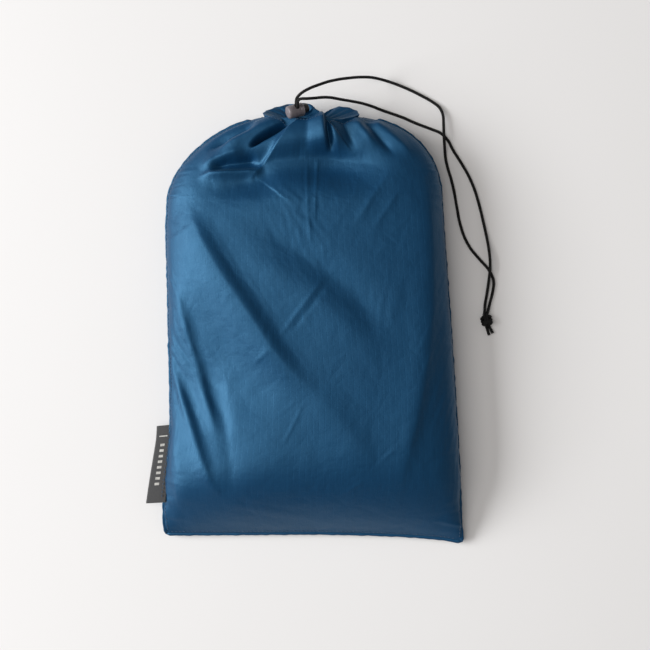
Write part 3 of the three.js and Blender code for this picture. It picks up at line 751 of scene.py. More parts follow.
FRONT_FOLDS = [
    # the long diagonal ridge and the hollow on its right
    fold(4.8, 22, 6.5, (0.2, 0.35), (-100, 96), (-88, 80), (-79, 62), (-68, 43), (-56, 26), (-44, 8),
         (-31, -12), (-18, -28), (-2, -44), (8, -62)),
    fold(-1.0, 6, 17, (0.3, 0.35), (-78, 78), (-66, 58), (-53, 41), (-40, 23), (-27, 4), (-13, -16), (2, -34),
         edge=1.8),
    # narrow ridges along the left side
    fold(3.2, 7, 3.4, (0.3, 0.3), (-103, 38), (-98, 20), (-93, 3), (-89, -12), (-84, -28), (-79, -47),
         (-74, -66), (-69, -88)),
    fold(-1.6, 3, 6, (0.3, 0.3), (-99, 32), (-94, 14), (-89, -2), (-84, -18), (-79, -34), (-74, -52),
         (-69, -72)),
    fold(3.0, 7, 4, (0.25, 0.3), (-105, -28), (-98, -45), (-90, -69), (-82, -93), (-74, -115), (-68, -127)),
    fold(-1.5, 3, 6, (0.25, 0.3), (-101, -28), (-93, -48), (-85, -72), (-77, -96), (-69, -117)),
    fold(-0.6, 7, 7, (0.3, 0.3), (-85, 46), (-81, 31), (-74, 11), (-67, -9), (-56, -33), (-49, -52)),
    fold(1.8, 5, 15, (0.3, 0.3), (-66, -16), (-62, -40), (-60, -62), (-57, -86)),
    fold(1.8, 4, 12, (0.3, 0.3), (-108, -68), (-104, -94), (-101, -118), (-99, -138)),
    fold(-1.4, 5, 6, (0.3, 0.3), (-74, -47), (-66, -62), (-62, -92), (-60, -124)),
    # the softer diagonal across the middle, lit below and dark above
    fold(-3.0, 12, 12, (0.3, 0.35), (-62, 92), (-44, 76), (-24, 60), (-6, 48), (12, 36), (34, 18), (56, -4),
         (74, -23), edge=1.8),
    fold(2.4, 18, 9, (0.3, 0.4), (-58, 78), (-38, 62), (-14, 45), (6, 30), (28, 10), (48, -12), (64, -34),
         edge=1.6),
    fold(1.8, 16, 10, (0.3, 0.4), (-8, -40), (14, -62), (32, -86), (44, -112), edge=1.8),
    # the right-hand edge of the load
    fold(2.6, 16, 6, (0.2, 0.25), (78, 124), (84, 104), (86, 60), (86, 17), (82, -25), (75, -61), (66, -100),
         (58, -128), edge=1.3),
    # small creases
    fold(0.7, 1.2, 1.6, (0.25, 0.25), (9, 42), (-5, 24), (-17, 8), (-27, -5)),
    fold(-0.55, 1.5, 1.5, (0.25, 0.25), (12, 38), (0, 22), (-11, 8), (-20, -4)),
    fold(0.4, 1.1, 1.3, (0.35, 0.35), (-30, -10), (-37, -17), (-44, -23)),
    fold(0.45, 1.2, 1.2, (0.35, 0.35), (-6, -48), (-14, -66), (-24, -85)),
    fold(0.35, 1.3, 1.6, (0.4, 0.4), (62, -83), (54, -90), (46, -97)),
    fold(0.35, 1.3, 1.6, (0.4, 0.4), (40, -107), (30, -114), (20, -121)),
    fold(0.5, 1.0, 1.3, (0.2, 0.3), (-5, 128), (-5, 105), (-4, 84), (-2, 60)),
    fold(0.45, 1.0, 1.3, (0.2, 0.4), (3, 132), (2, 112), (1, 92), (1, 72)),
    fold(0.7, 2.0, 3.0, (0.3, 0.4), (59, 121), (43, 99), (29, 77)),
    fold(0.5, 1.6, 2.2, (0.3, 0.4), (66, 108), (52, 88), (38, 70)),
    # the gathered neck: the sag between the load's end and the mouth
    fold(-10.5, 15, 10, (0.35, 0.35), (-90, 104), (-68, 111), (-47, 118), (-28, 123), (-10, 126), (12, 126),
         (34, 122), (64, 114), edge=2.0),
    # the flap that hangs from the mouth: its long left edge, and the bright fold that carries on from it
    fold(4.8, 2.6, 27, (0.02, 0.35), (1, 166), (-6, 160), (-12, 155), (-18, 149), (-25, 140), (-32, 130),
         (-38, 123), (-45, 115), (-51, 106), edge=1.15, far_edge=2.6),
    fold(6.5, 2.4, 6, (0.25, 0.4), (-36, 121), (-44, 119), (-53, 118), (-64, 117), (-76, 116), (-88, 112),
         edge=1.2),
    # the deep pocket under the flap's edge, the pleat above it and the creases outside
    fold(-11, 1.8, 1.5, (0.15, 0.2), (-9, 158), (-15, 154.5), (-23, 150.5), (-31, 146), (-39, 141.5),
         (-48, 135), edge=2.0, taper=0.35),
    fold(4.2, 5, 5, (0.1, 0.35), (-19, 161), (-33, 153), (-47, 146), (-60, 139), (-76, 129)),
    fold(-4.2, 2.6, 2.2, (0.25, 0.35), (-41, 153), (-52, 148), (-65, 141.5), (-80, 132)),
    fold(-5.0, 3, 3.4, (0.2, 0.25), (-41, 128), (-54, 126), (-65, 124), (-78, 119)),
    fold(2.6, 4, 4, (0.25, 0.35), (-50, 133), (-62, 130), (-74, 126), (-86, 119)),
    # the flap's own valley, the crest on its right and the notch after it
    fold(-1.4, 5, 3, (0.05, 0.25), (-4, 164), (-5, 152), (-5.5, 141), (-6, 130)),
    fold(4.6, 8, 1.6, (0.03, 0.3), (6.5, 164), (7, 153), (8, 143), (9.5, 131)),
    fold(-4.2, 1.3, 1.8, (0.1, 0.35), (8.5, 157), (9.5, 150), (11, 142), (13.5, 132)),
    fold(2.4, 3, 5, (0.05, 0.4), (12, 160), (14, 150), (17, 138), (20, 127)),
    fold(-2.0, 2.6, 3, (0.1, 0.4), (20, 160), (23, 151), (27, 142), (32, 132)),
    fold(2.4, 4, 5, (0.05, 0.4), (26, 163), (32, 154), (39, 145), (47, 134)),
    fold(-2.4, 3.0, 3, (0.15, 0.4), (36, 157), (44, 148), (53, 138), (62, 127)),
    fold(2.0, 4, 4, (0.15, 0.4), (43, 156), (54, 147), (66, 137), (76, 126)),
]


def fold_height(fold, x, y):
    """Height of one fold at points in plan."""
    line = fold["line"]
    steps = np.diff(line, axis=0)
    lengths = np.linalg.norm(steps, axis=1)
    before = np.concatenate([[0], np.cumsum(lengths)[:-1]])
    total = lengths.sum()
    reach = 4 * max(fold["left"], fold["right"])
    low, high = line.min(0) - reach, line.max(0) + reach
    near = (x > low[0]) & (x < high[0]) & (y > low[1]) & (y < high[1])
    px, py = x[near], y[near]
    best = np.full(px.shape, 1e9)
    along = np.zeros(px.shape)
    side = np.zeros(px.shape)
    for start, step, length, run in zip(line[:-1], steps, lengths, before):
        t = ((px - start[0]) * step[0] + (py - start[1]) * step[1]) / length**2
        t = np.clip(t, 0, 1)
        dx, dy = px - start[0] - t * step[0], py - start[1] - t * step[1]
        distance = np.hypot(dx, dy)
        closer = distance < best
        best = np.where(closer, distance, best)
        along = np.where(closer, (run + t * length) / total, along)
        side = np.where(closer, step[0] * dy - step[1] * dx, side)
    # a line runs down the sack, so the points on its own right lie on the sack's left
    on_left = side < 0
    width = np.where(on_left, fold["left"], fold["right"])
    along = np.clip(along, 0, 1)
    width = width * (fold["taper"] + (1 - fold["taper"]) * np.sqrt(4 * along * (1 - along)))
    first, last = fold["fade"]
    fade = smoothstep(along, 0, first) * (1 - smoothstep(along, 1 - last, 1))
    rounding = 0.2 * width
    edge = np.where(on_left, fold["edge"], fold["far_edge"])
    profile = np.exp(-1.1 * ((np.sqrt(best**2 + rounding**2) - rounding) / width) ** edge)
    result = np.zeros(x.shape)
    result[near] = fold["height"] * profile * fade
    return result


def seam_puckers(columns, front):
    """Short gathers where the side seams hold the cloth back, fading out over a centimetre and a half."""
    rng = np.random.default_rng(7 if front else 8)
    row = np.arange(ROWS)[:, None]
    edge = np.linspace(0, 1, columns)[None, :]
    lift = np.zeros((ROWS, columns))
    for side in (0, 1):
        from_edge = edge if side == 0 else 1 - edge
        at = 14.0
        while at < BODY_ROWS + 40:
            height = rng.uniform(0.25, 0.8) * rng.choice((1, 1, -1))
            width = rng.uniform(1.1, 2.4)
            reach = rng.uniform(0.03, 0.085)
            lean = rng.uniform(-60, 60)
            across = (row - at - lean * from_edge) / width
            lift += height * np.exp(-across**2) * np.exp(-((from_edge / reach) ** 1.6))
            at += rng.uniform(5.0, 12.0)
    return lift * smoothstep(edge, 0.0, 0.012) * smoothstep(1 - edge, 0.0, 0.012)


def neck_share():
    """How far each row is along the neck: 0 on the body, 1 at the mouth."""
    return np.concatenate([np.zeros(BODY_ROWS), np.linspace(0, 1, NECK_ROWS + 1)[1:]])


LOCK_CLEARANCE = 5.2  # from the lock's axis


def clear_of_lock(points, front):
    """Moves points that lie inside the cord lock's space out of it, so that the cloth nests round the lock."""
    flat = points.reshape(-1, 3)
    to_lock = np.array(LOCK.inverted())
    local = flat @ to_lock[:3, :3].T + to_lock[:3, 3]
    reach_x = np.clip(local[:, 0], -7.0, 9.4)
    slide = np.clip(local[:, 2], 0.0, 0.0 if front else 6.0)
    dx, dy, dz = local[:, 0] - reach_x, local[:, 1], local[:, 2] - slide
    distance = np.sqrt(dx**2 + dy**2 + dz**2)
    push = np.maximum(LOCK_CLEARANCE - distance, 0.0)
    # the front stays on the lock's near side, and the back goes under it
    away = np.stack([dx * 0.3, dy - 0.8, dz], -1) if front else np.stack([dx * 0.3, dy, dz - 1.6], -1)
    away /= np.maximum(np.linalg.norm(away, axis=1, keepdims=True), 1e-6)
    moved = local + away * push[:, None]
    from_lock = np.array(LOCK)
    return (moved @ from_lock[:3, :3].T + from_lock[:3, 3]).reshape(points.shape)


def folded_side(front, columns):
    points = smooth_side(front, columns)
    normal = grid_normals(points, front)
    w = neck_share()[:, None]
    swell = lobes(mouth_angles(front, columns))[None, :]
    share = float(hem_profile(0.0)[3]) * LOBE_HEIGHT
    lift = swell * share * smoothstep(w, 0.15, 1.0)
    if front:
        for fold in FRONT_FOLDS:
            lift = lift + fold_height(fold, points[..., 0], points[..., 1])
    edge = np.linspace(0, 1, columns)[None, :]
    keep = smoothstep(np.minimum(edge, 1 - edge), 0.0, 0.05)
    keep = keep * smoothstep(np.arange(len(points))[:, None] / len(points), 0.0, 0.03)
    keep = np.where(w > 0.2, np.maximum(keep, smoothstep(w, 0.2, 0.7)), keep)
    points = points + normal * (lift * keep + seam_puckers(columns, front))[..., None]
    points[..., 2] = np.maximum(points[..., 2], TABLE_GAP)
    return points


def hem_side(front, columns, edge_row):
    """The gathered hem that runs on from the mouth row, out and back into the throat."""
    angles = mouth_angles(front, columns)
    swell = lobes(angles) * LOBE_HEIGHT
    degrees = np.arange(-40, 401)
    reach = smooth(np.interp(degrees % 360, HEM_ANGLE, HEM_REACH), 4)
    reach = np.interp(np.degrees(angles) % 360, degrees, reach)
    out, deep, grow, share = hem_profile(np.linspace(0, 1, HEM_ROWS))
    first = mouth_point(angles, grow[0], 0.0, swell * share[0])
    rows = []
    for row in range(HEM_ROWS):
        point = mouth_point(angles, grow[row], out[row] * reach - deep[row], swell * share[row])
        settle = 1 - smoothstep(row / HEM_ROWS, 0, 0.4)
        rows.append(point + (edge_row - first) * settle)
    return np.array(rows)


front_grid = folded_side(True, FRONT_COLUMNS)
back_grid = folded_side(False, BACK_COLUMNS)
back_grid[:, 0] = front_grid[:, 0]
back_grid[:, -1] = front_grid[:, -1]

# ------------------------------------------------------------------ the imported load


def make_load(name, front_cloth, back_cloth, step, inset, last, skip=2):
    """A closed body an even distance inside the cloth, up to row `last` of its grids."""
    ring = closed_ring(front_cloth[:last:step, ::step], back_cloth[:last:step, ::step])
    rows, columns = ring.shape[:2]
    normal = unit(np.cross(np.roll(ring, -1, 1) - np.roll(ring, 1, 1), np.gradient(ring, axis=0)))
    centre = ring.mean(1, keepdims=True)
    outward = np.sign((normal * (ring - centre)).sum(-1).mean())
    ring = ring - outward * normal * inset
    ring[..., 2] = np.maximum(ring[..., 2], inset)
    ring = ring[skip:]
    rows -= skip
    verts = ring.reshape(-1, 3).tolist()
    faces = grid_faces(rows, columns, True).tolist()
    for row in (0, rows - 1):
        hub = len(verts)
        verts.append(ring[row].mean(0).tolist())
        faces += [[hub, row * columns + i, row * columns + (i + 1) % columns] for i in range(columns)]
    mesh = new_mesh(name, verts, faces, LOAD_CLOTH)
    bm = bmesh.new()
    bm.from_mesh(mesh)
    bmesh.ops.recalc_face_normals(bm, faces=bm.faces)
    bm.to_mesh(mesh)
    bm.free()
    return shade_smooth(link(name, mesh))


# ------------------------------------------------------------------ cloth simulation

SIM_STEP = 2  # the simulated mesh takes every second row and column
SIM_FRAMES = 16
SIM_GAP = 0.0006  # m, kept between the cloth and what it lies on
SEAM_HOLD = 0.9  # how firmly the seams stay in place; 1 is fixed
SIM_CAP = 3.2  # mm, the most that a point moves
SIM_SHARE = 0.6  # how much of the movement is kept


def simulate(front, back):
    """Lets slightly oversized cloth settle over the load, and returns how far each grid's points moved."""
    ring = closed_ring(front[::SIM_STEP, ::SIM_STEP], back[::SIM_STEP, ::SIM_STEP])
    rows, columns = ring.shape[:2]
    right_seam = (front.shape[1] - 1) // SIM_STEP
    cloth = link("settling", new_mesh("settling", ring, grid_faces(rows, columns, True).tolist()))
    group = cloth.vertex_groups.new(name="hold")
    row = np.arange(rows)
    hold = 1 - smoothstep(row, 0, 4) * (1 - smoothstep(row, rows - 8, rows - 1))
    for j in range(rows):
        group.add(list(range(j * columns, (j + 1) * columns)), float(max(hold[j], 0.0)), "REPLACE")
    seams = [j * columns + i for j in range(rows) for i in (0, right_seam)]
    group.add(seams, SEAM_HOLD, "REPLACE")

    load = make_load("settling_load", front, back, 3, 1.4, BODY_ROWS + int(0.5 * NECK_ROWS))
    bodies = [load, square("settling_table", 1)]
    for body in bodies:
        body.modifiers.new("Collision", "COLLISION")
        body.collision.thickness_outer = SIM_GAP
        body.collision.cloth_friction = 12
    modifier = cloth.modifiers.new("Cloth", "CLOTH")
    settings = modifier.settings
    settings.quality = 7
    settings.mass = 0.08
    settings.tension_stiffness = settings.compression_stiffness = 20
    settings.shear_stiffness = 12
    settings.bending_stiffness = 0.12
    settings.air_damping = 2
    settings.vertex_group_mass = "hold"
    settings.pin_stiffness = 1.0
    settings.shrink_min = settings.shrink_max = -0.016
    settings.effector_weights.gravity = 0.6
    modifier.collision_settings.distance_min = SIM_GAP
    modifier.collision_settings.collision_quality = 2
    modifier.collision_settings.use_self_collision = False
    modifier.point_cache.frame_start = 1
    modifier.point_cache.frame_end = SIM_FRAMES
    scene = bpy.context.scene
    scene.frame_start, scene.frame_end = 1, SIM_FRAMES
    for step in range(1, SIM_FRAMES + 1):
        scene.frame_set(step)
    done = cloth.evaluated_get(bpy.context.evaluated_depsgraph_get())
    moved = np.empty(len(done.data.vertices) * 3)
    done.data.vertices.foreach_get("co", moved)
    shift = moved.reshape(rows, columns, 3) / MM - ring
    for helper in (cloth, *bodies):
        bpy.data.objects.remove(helper)
    scene.frame_set(1)
    size = np.linalg.norm(shift, axis=-1, keepdims=True)
    shift *= np.minimum(1.0, SIM_CAP / np.maximum(size, 1e-9))
    row = np.arange(rows) * SIM_STEP
    kept = SIM_SHARE * smoothstep(row, 6, 50) * (1 - smoothstep(row, BODY_ROWS - 10, BODY_ROWS + 30))
    shift *= kept[:, None, None]
    back_shift = np.concatenate([shift[:, right_seam:], shift[:, :1]], 1)[:, ::-1]
    return shift[:, : right_seam + 1], back_shift


def spread(shift, shape):
    """Interpolates a coarse grid of shifts to a fine one."""
    rows, columns = shift.shape[:2]
    at_row = np.clip(np.arange(shape[0]) / SIM_STEP, 0, rows - 1)
    at_column = np.clip(np.arange(shape[1]) / SIM_STEP, 0, columns - 1)
    j, i = np.minimum(at_row.astype(int), rows - 2), np.minimum(at_column.astype(int), columns - 2)
    dj, di = (at_row - j)[:, None, None], (at_column - i)[None, :, None]
    a, b = shift[j][:, i], shift[j][:, i + 1]
    c, d = shift[j + 1][:, i], shift[j + 1][:, i + 1]
    return (a * (1 - di) + b * di) * (1 - dj) + (c * (1 - di) + d * di) * dj


def soften(grid, passes):
    for _ in range(passes):
        inner = grid[1:-1, 1:-1]
        around = (grid[:-2, 1:-1] + grid[2:, 1:-1] + grid[1:-1, :-2] + grid[1:-1, 2:]) / 4
        grid = grid.copy()
        grid[1:-1, 1:-1] = 0.5 * inner + 0.5 * around
    return grid


front_shift, back_shift = simulate(front_grid, back_grid)
front_grid = front_grid + soften(spread(front_shift, front_grid.shape), 3)
back_grid = back_grid + soften(spread(back_shift, back_grid.shape), 3)
back_grid[:, 0], back_grid[:, -1] = front_grid[:, 0], front_grid[:, -1]
front_grid[..., 2] = np.maximum(front_grid[..., 2], TABLE_GAP)
back_grid[..., 2] = np.maximum(back_grid[..., 2], TABLE_GAP)

load = make_load("packed_clothes", front_grid, back_grid, 6, 3.4, BODY_ROWS + int(0.3 * NECK_ROWS), 5)
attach(load, "sack")
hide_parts("packed_load")

front_hem = hem_side(True, FRONT_COLUMNS, front_grid[-1])
back_hem = hem_side(False, BACK_COLUMNS, back_grid[-1])
front_hem, front_grid = clear_of_lock(front_hem, True), clear_of_lock(front_grid, True)
back_hem, back_grid = clear_of_lock(back_hem, False), clear_of_lock(back_grid, False)

# ------------------------------------------------------------------ panels and hem

PANEL_LENGTH = 345.0
HEM_LENGTH = 34.0
HEM_BACK_START = 240.0  # where the back's weave starts along the hem's strip


def weave_uv(points):
    """Fabric coordinates of a grid: its run across, and its run along from the bottom."""
    across = np.linalg.norm(np.diff(points, axis=1), axis=-1)
    u = np.concatenate([[0], np.cumsum(across[:BODY_ROWS].mean(0))])
    along = np.linalg.norm(np.diff(points, axis=0), axis=-1)
    v = np.concatenate([[0], np.cumsum(np.median(along, axis=1))])
    return uv_grid(u, v)


def make_panel(name, node, grid, flip):
    panel = grid_object(name, grid, SACK_BLUE, weave_uv(grid), flip=flip)
    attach(panel, "sack")
    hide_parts(node)


def make_hem():
    """The hem as one closed ring of gathered cloth, ending in the drawn-in throat."""
    back_u = HEM_BACK_START + weave_uv(back_grid)[0, ::-1, 0][1:-1]
    u = np.concatenate([weave_uv(front_grid)[0, :, 0], back_u])
    v = PANEL_LENGTH + np.linspace(0, HEM_LENGTH, HEM_ROWS)
    uv = uv_grid(u, v)
    hem = grid_object("gathered_hem", closed_ring(front_hem, back_hem), SEAM_BLUE, uv, closed=True, flip=True)
    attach(hem, "sack")
    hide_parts("hem_channel")
    return hem


hem = make_hem()
make_panel("front_cloth", "front_panel", front_grid, True)
make_panel("back_cloth", "back_panel", back_grid, False)


def seam_strip(name, node, path, outward, reach, thickness, seed):
    """A narrow folded seam that stands out from an edge, slightly puckered by its stitches."""
    rng = np.random.default_rng(seed)
    tangent = unit(np.gradient(path, axis=0))
    outward = unit(outward - tangent * (outward * tangent).sum(1, keepdims=True))
    up = np.cross(tangent, outward)
    up *= np.where(up[:, 2:] < 0, -1, 1)
    run = run_along(path)
    wave = np.zeros(len(run))
    for pitch in (7.3, 11.9, 19.0):
        wave += np.sin(2 * math.pi * run / pitch + rng.uniform(0, 6)) / 3
    half = thickness / 2
    profile = ((-1.6, half * 1.0), (0.0, half * 1.15), (0.45, half), (0.8, half * 0.75), (1.0, 0.0),
               (0.8, -half * 0.75), (0.45, -half), (0.0, -half * 1.15), (-1.6, -half * 1.0))
    ends = np.minimum(1.0, np.minimum(run, run[-1] - run) / 3.0)
    points = []
    for along, off in profile:
        shift = outward * (along * reach * (1 + 0.16 * wave * (along > 0)) * ends)[:, None]
        shift = shift + up * (off * ends + 0.22 * wave * max(along, 0.2))[:, None]
        points.append(path + shift)
    grid = np.stack(points, 1)
    grid[..., 2] = np.maximum(grid[..., 2], 0.1)
    uv = uv_grid(np.linspace(0, 3.2 * reach, len(profile)), run)
    strip = grid_object(name, grid, SEAM_BLUE, uv, closed=True)
    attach(strip, "sack")
    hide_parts(node)


SEAM_END = 14  # rows below the mouth where the side seams turn in under the hem

for side, edge, outward, reach, thickness, seed in (
    ("left_side", front_grid[:-SEAM_END, 0], (-1.0, 0, 0), 1.3, 1.0, 3),
    ("right_side", front_grid[:-SEAM_END, -1], (1.0, 0, 0), 1.3, 1.0, 4),
    ("bottom", front_grid[0], (0, -1.0, 0), 1.4, 1.1, 5),
):
    seam_strip(side + "_fold", side + "_seam", resample(edge, 0.8), np.array(outward), reach, thickness, seed)

# ------------------------------------------------------------------ stitches


def stitch_row(name, node, path, normal, length, gap, radius):
    """A row of small machine stitches lying on a path, each dipping into the cloth at its ends."""
    run = run_along(path)
    sides, steps = 6, 5
    share = np.linspace(-1, 1, steps)
    verts, faces, uvs = [], [], []
    at = gap
    while at + length < run[-1]:
        t = np.linspace(at, at + length, steps)
        up = unit(points_at(t, run, normal))
        line = points_at(t, run, path) + up * (radius * (0.75 - 1.5 * share**4))[:, None]
        tangent = unit(np.gradient(line, axis=0))
        side = np.cross(tangent, up)
        base = len(verts)
        for k in range(steps):
            size = radius * (1 - 0.45 * share[k] ** 4)
            for m in range(sides):
                turn = 2 * math.pi * m / sides
                verts.append(line[k] + size * (math.cos(turn) * side[k] + math.sin(turn) * up[k]))
                uvs.append((m / sides, t[k]))
        for k in range(steps - 1):
            for m in range(sides):
                a, b = base + k * sides + m, base + k * sides + (m + 1) % sides
                faces.append((a, b, b + sides, a + sides))
        faces += [[base + m for m in range(sides)][::-1], [base + (steps - 1) * sides + m for m in range(sides)]]
        at += length + gap
    row = shade_smooth(link(name, new_mesh(name, verts, faces, THREAD_BLUE, np.array(uvs))))
    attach(row, "sack")
    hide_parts(node)


def along_edge(grid, normals, from_edge, rows):
    """A path down a panel, a distance in from its first column's edge."""
    points, ups = [], []
    for line, up in zip(grid[rows], normals[rows]):
        run = run_along(line)
        at = [min(from_edge, run[-1] * 0.3)]
        points.append(points_at(at, run, line)[0])
        ups.append(points_at(at, run, up)[0])
    return np.array(points), np.array(ups)


front_normals = grid_normals(front_grid, True)
back_normals = grid_normals(back_grid, False)
STITCH = dict(length=2.1, gap=0.9, radius=0.24)
STITCH_INSET = 2.6  # from the side seams
for side, turn in (("left", 1), ("right", -1)):
    path = along_edge(front_grid[:, ::turn], front_normals[:, ::turn], STITCH_INSET, slice(4, ROWS - 10))
    stitch_row(side + "_seam_stitches", side + "_seam_thread", *path, **STITCH)
stitch_row("bottom_seam_stitches", "bottom_seam_thread", front_grid[3, 4:-4], front_normals[3, 4:-4], **STITCH)
neck_row = ROWS - 9
hem_ring = np.concatenate([front_grid[neck_row], back_grid[neck_row, ::-1]])
hem_up = np.concatenate([front_normals[neck_row], back_normals[neck_row, ::-1]])
stitch_row("hem_stitches", "hem_thread", hem_ring, hem_up, length=1.7, gap=0.7, radius=0.22)

# ------------------------------------------------------------------ drawcord loop and its buttonhole

LOOP_ROWS = (6, 36)  # the hem's outer and inner rows that the cord runs between


def make_loop():
    hem_rings = closed_ring(front_hem, back_hem)
    outer, inner = (hem_rings[row] for row in LOOP_ROWS)
    ring = 0.6 * outer + 0.4 * inner
    nearest = int(np.argmin(np.linalg.norm(ring[:, :2] - np.array(EXIT), axis=1) - 0.05 * ring[:, 2]))
    ring = np.roll(ring, -nearest, axis=0)[3:-3]
    line = resample(np.stack([smooth(ring[:, axis], 3) for axis in range(3)], 1), 0.8)
    cloth = np.concatenate([front_hem.reshape(-1, 3), back_hem.reshape(-1, 3)])
    room = np.array([np.linalg.norm(cloth - point, axis=1).min() for point in line])
    run = run_along(line)
    # the gathers press the cord thinner where they leave it less room
    squeeze = smooth(np.clip(0.8 * (room - 0.3) / CORD_RADIUS, 0.12, 0.8), 2)
    loop = tube_object("drawn_loop", line, CORD_RADIUS, 12, CORD_BLACK,
                       lambda angle, along: braid_bumps(angle, along) * np.interp(along, run, squeeze))
    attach(loop, "sack")
    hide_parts("drawcord_loop")


def make_buttonhole():
    turn = Matrix.Rotation(EXIT_TURN, 3, "Z")
    ring = []
    for angle in np.linspace(0, 2 * math.pi, 73):
        p = turn @ Vector((3.6 * math.cos(angle), 2.1 * math.sin(angle), 0))
        ring.append((EXIT[0] + p.x, EXIT[1] + p.y, 29.7))
    eyelet = tube_object("buttonhole", resample(np.array(ring), 0.25), 0.5, 8, THREAD_BLUE,
                         lambda a, run: 1 + 0.16 * np.sin(2 * math.pi * run / 0.75 + a))
    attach(eyelet, "sack")
    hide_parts("exit_buttonhole")


make_loop()
make_buttonhole()

# ------------------------------------------------------------------ cord lock

BARREL_CLOSED, BARREL_OPEN, BARREL_RADIUS, BARREL_BORE = -7.4, 5.4, 4.8, 3.8
PLUNGER_INNER, PLUNGER_TIP, PLUNGER_RADIUS = -2.3, 9.9, 3.5
CORD_HOLE = (1.45, 2.6)  # its half sizes along and across the barrel
PLUNGER_SLOT = (-1.4, 3.95)  # its two ends along the plunger
CUT_REACH = 9


def lathe(profile, sides=64):
    """A mesh turned round the x axis from (x, radius) points; a zero radius closes it on the axis."""
    bm = bmesh.new()
    rings = []
    for x, radius in profile:
        turns = [2 * math.pi * i / sides for i in range(sides if radius > 0 else 1)]
        rings.append([bm.verts.new((x, radius * math.cos(a), radius * math.sin(a))) for a in turns])
    for a, b in zip(rings, rings[1:]):
        for i in range(sides):
            k = (i + 1) % sides
            if len(a) == 1:
                bm.faces.new((a[0], b[i], b[k]))
            elif len(b) == 1:
                bm.faces.new((a[i], b[0], a[k]))
            else:
                bm.faces.new((a[i], b[i], b[k], a[k]))
    bmesh.ops.recalc_face_normals(bm, faces=bm.faces)
    mesh = bpy.data.meshes.new("turned")
    bm.to_mesh(mesh)
    bm.free()
    return mesh


def slot_cutter(x_low, x_high, half_y, reach):
    """A round-ended prism along z that cuts the cords' passage."""
    corner = min(1.2, (x_high - x_low) / 2 - 0.01, half_y - 0.01)
    outline = []
    for cx, cy, start in ((x_high - corner, half_y - corner, 0), (x_low + corner, half_y - corner, 90),
                          (x_low + corner, -half_y + corner, 180), (x_high - corner, -half_y + corner, 270)):
        for step in range(9):
            a = math.radians(start + step * 90 / 8)
            outline.append((cx + corner * math.cos(a), cy + corner * math.sin(a)))
    count = len(outline)
    verts = [(x, y, -reach) for x, y in outline] + [(x, y, reach) for x, y in outline]
    faces = [list(range(count))[::-1], [count + i for i in range(count)]]
    faces += [(i, (i + 1) % count, count + (i + 1) % count, count + i) for i in range(count)]
    mesh = bpy.data.meshes.new("cutter")
    mesh.from_pydata(verts, [], faces)
    return link("cutter", mesh)


def cut_and_place(name, mesh, cutter, material):
    """Cuts a turned part, rounds its edges and puts it in the lock's place."""
    part = link(name, mesh)
    part.data.materials.append(material)
    boolean = part.modifiers.new("cut", "BOOLEAN")
    boolean.object = cutter
    boolean.solver = "EXACT"
    bevel = part.modifiers.new("bevel", "BEVEL")
    bevel.width = 0.14
    bevel.segments = 2
    bevel.limit_method = "ANGLE"
    bevel.angle_limit = math.radians(40)
    apply_modifiers(part)
    bpy.data.objects.remove(cutter)
    part.data.transform(Matrix.Scale(MM, 4) @ LOCK)
    shade_smooth(part)
    part.data.set_sharp_from_angle(angle=math.radians(38))
    return part


def make_barrel():
    bore, wall = BARREL_BORE, 0.9
    profile = [(BARREL_CLOSED, 0), (BARREL_CLOSED, 2.6), (BARREL_CLOSED + 0.25, 3.7), (BARREL_CLOSED + 0.75, 4.4),
               (BARREL_CLOSED + 1.5, 4.72), (BARREL_CLOSED + 2.6, BARREL_RADIUS)]
    for x in (1.9, 2.9, 3.9):  # three shallow grip rings
        profile += [(x, BARREL_RADIUS), (x + 0.22, BARREL_RADIUS - 0.22), (x + 0.5, BARREL_RADIUS - 0.22),
                    (x + 0.72, BARREL_RADIUS)]
    profile += [(BARREL_OPEN - 0.35, BARREL_RADIUS), (BARREL_OPEN, BARREL_RADIUS - 0.35),
                (BARREL_OPEN, bore + 0.2), (BARREL_OPEN - 0.2, bore),
                (BARREL_CLOSED + wall, bore), (BARREL_CLOSED + wall, 0)]
    cutter = slot_cutter(-CORD_HOLE[0], CORD_HOLE[0], CORD_HOLE[1], CUT_REACH)
    barrel = cut_and_place("lock_barrel", lathe(profile), cutter, LOCK_GREY)
    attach(barrel, "cord_lock")
    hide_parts("cord_lock_barrel")


def make_plunger():
    r = PLUNGER_RADIUS
    profile = [(PLUNGER_INNER, 0), (PLUNGER_INNER, r - 0.2), (PLUNGER_INNER + 0.2, r), (PLUNGER_TIP - 1.6, r),
               (PLUNGER_TIP - 0.8, r - 0.25), (PLUNGER_TIP - 0.25, r - 0.95), (PLUNGER_TIP - 0.03, r - 1.9),
               (PLUNGER_TIP - 0.2, 0.9), (PLUNGER_TIP - 0.25, 0)]
    cutter = slot_cutter(*PLUNGER_SLOT, CORD_HOLE[1], CUT_REACH)
    plunger = cut_and_place("lock_plunger", lathe(profile), cutter, LOCK_BLACK)
    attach(plunger, "plunger")
    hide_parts("cord_lock_plunger")


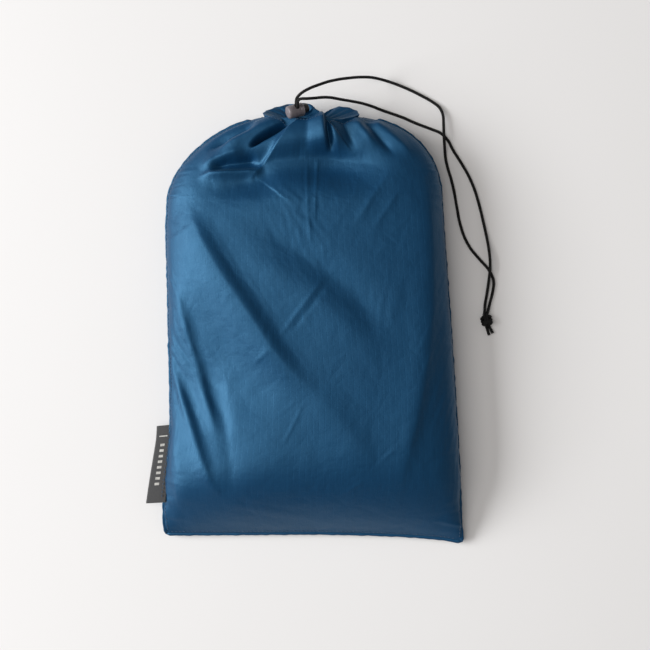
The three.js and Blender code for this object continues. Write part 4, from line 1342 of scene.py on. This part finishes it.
def make_spring():
    turns, radius, wire = 3.0, 2.5, 0.2
    low, high = -6.2, -2.7
    t = np.linspace(0, 1, 150)
    rise = low + (high - low) * smoothstep(t, 0.0, 1.0) * 0.25 + (high - low) * 0.75 * t
    a = 2 * math.pi * (turns + 1) * t
    local = np.stack([rise, radius * np.cos(a), radius * np.sin(a)], 1)
    world = np.array([LOCK @ Vector(p) for p in local])
    spring = tube_object("lock_spring", resample(world, 0.22), wire, 10, SPRING_STEEL)
    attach(spring, "cord_lock")
    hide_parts("cord_lock_spring")
    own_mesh(spring)


make_barrel()
make_plunger()
make_spring()

# ------------------------------------------------------------------ side label

LABEL_Y = (-71.0, -129.5)
LABEL_LENGTH = LABEL_Y[0] - LABEL_Y[1]
LABEL_REACH = 14.2


def make_label():
    """A strip of tape folded over at its outer edge, both ends caught in the left seam."""
    rows, columns = 60, 41
    share = np.linspace(0, 1, rows)
    y = LABEL_Y[0] + (LABEL_Y[1] - LABEL_Y[0]) * share
    seam_x, _ = body_outline(y)
    half_fold = 0.42  # half the thickness at the fold
    grid = np.zeros((rows, columns, 3))
    for i, s in enumerate(np.linspace(-1, 1, columns)):
        lift = 1 - abs(s)
        across = lift * LABEL_REACH
        height = math.copysign(half_fold, -s) * (1 - max(0.0, lift - 0.93) / 0.07) ** 0.5 if s else 0.0
        curl = 0.5 * np.sin(math.pi * (share * 1.3 + 0.1)) * lift
        grid[:, i, 0] = seam_x + 1.4 - across - 1.6 * (share - 0.5) * lift * 1.6
        grid[:, i, 1] = y - 1.6 * lift
        grid[:, i, 2] = SEAM_HEIGHT - 0.3 - 5.6 * lift**1.25 + curl + height * 1.15
    u = LABEL_REACH * np.abs(np.linspace(-1, 1, columns))
    uv = uv_grid(u, share * LABEL_LENGTH)
    label = grid_object("folded_label", grid, LABEL_TAPE, uv)
    thicken = label.modifiers.new("thickness", "SOLIDIFY")
    thicken.thickness = 0.25 * MM
    thicken.offset = 0
    apply_modifiers(label)
    shade_smooth(label)
    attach(label, "sack")
    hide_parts("side_label")
    at = np.linspace(LABEL_Y[0] - 1, LABEL_Y[1] + 1.5, rows)
    path = np.stack([np.interp(at, y[::-1], seam_x[::-1]) - 1.9, at, np.full(rows, SEAM_HEIGHT + 0.25)], 1)
    stitch_row("label_stitches", "label_thread", path, np.tile((0.0, 0, 1.0), (rows, 1)), **STITCH)


make_label()
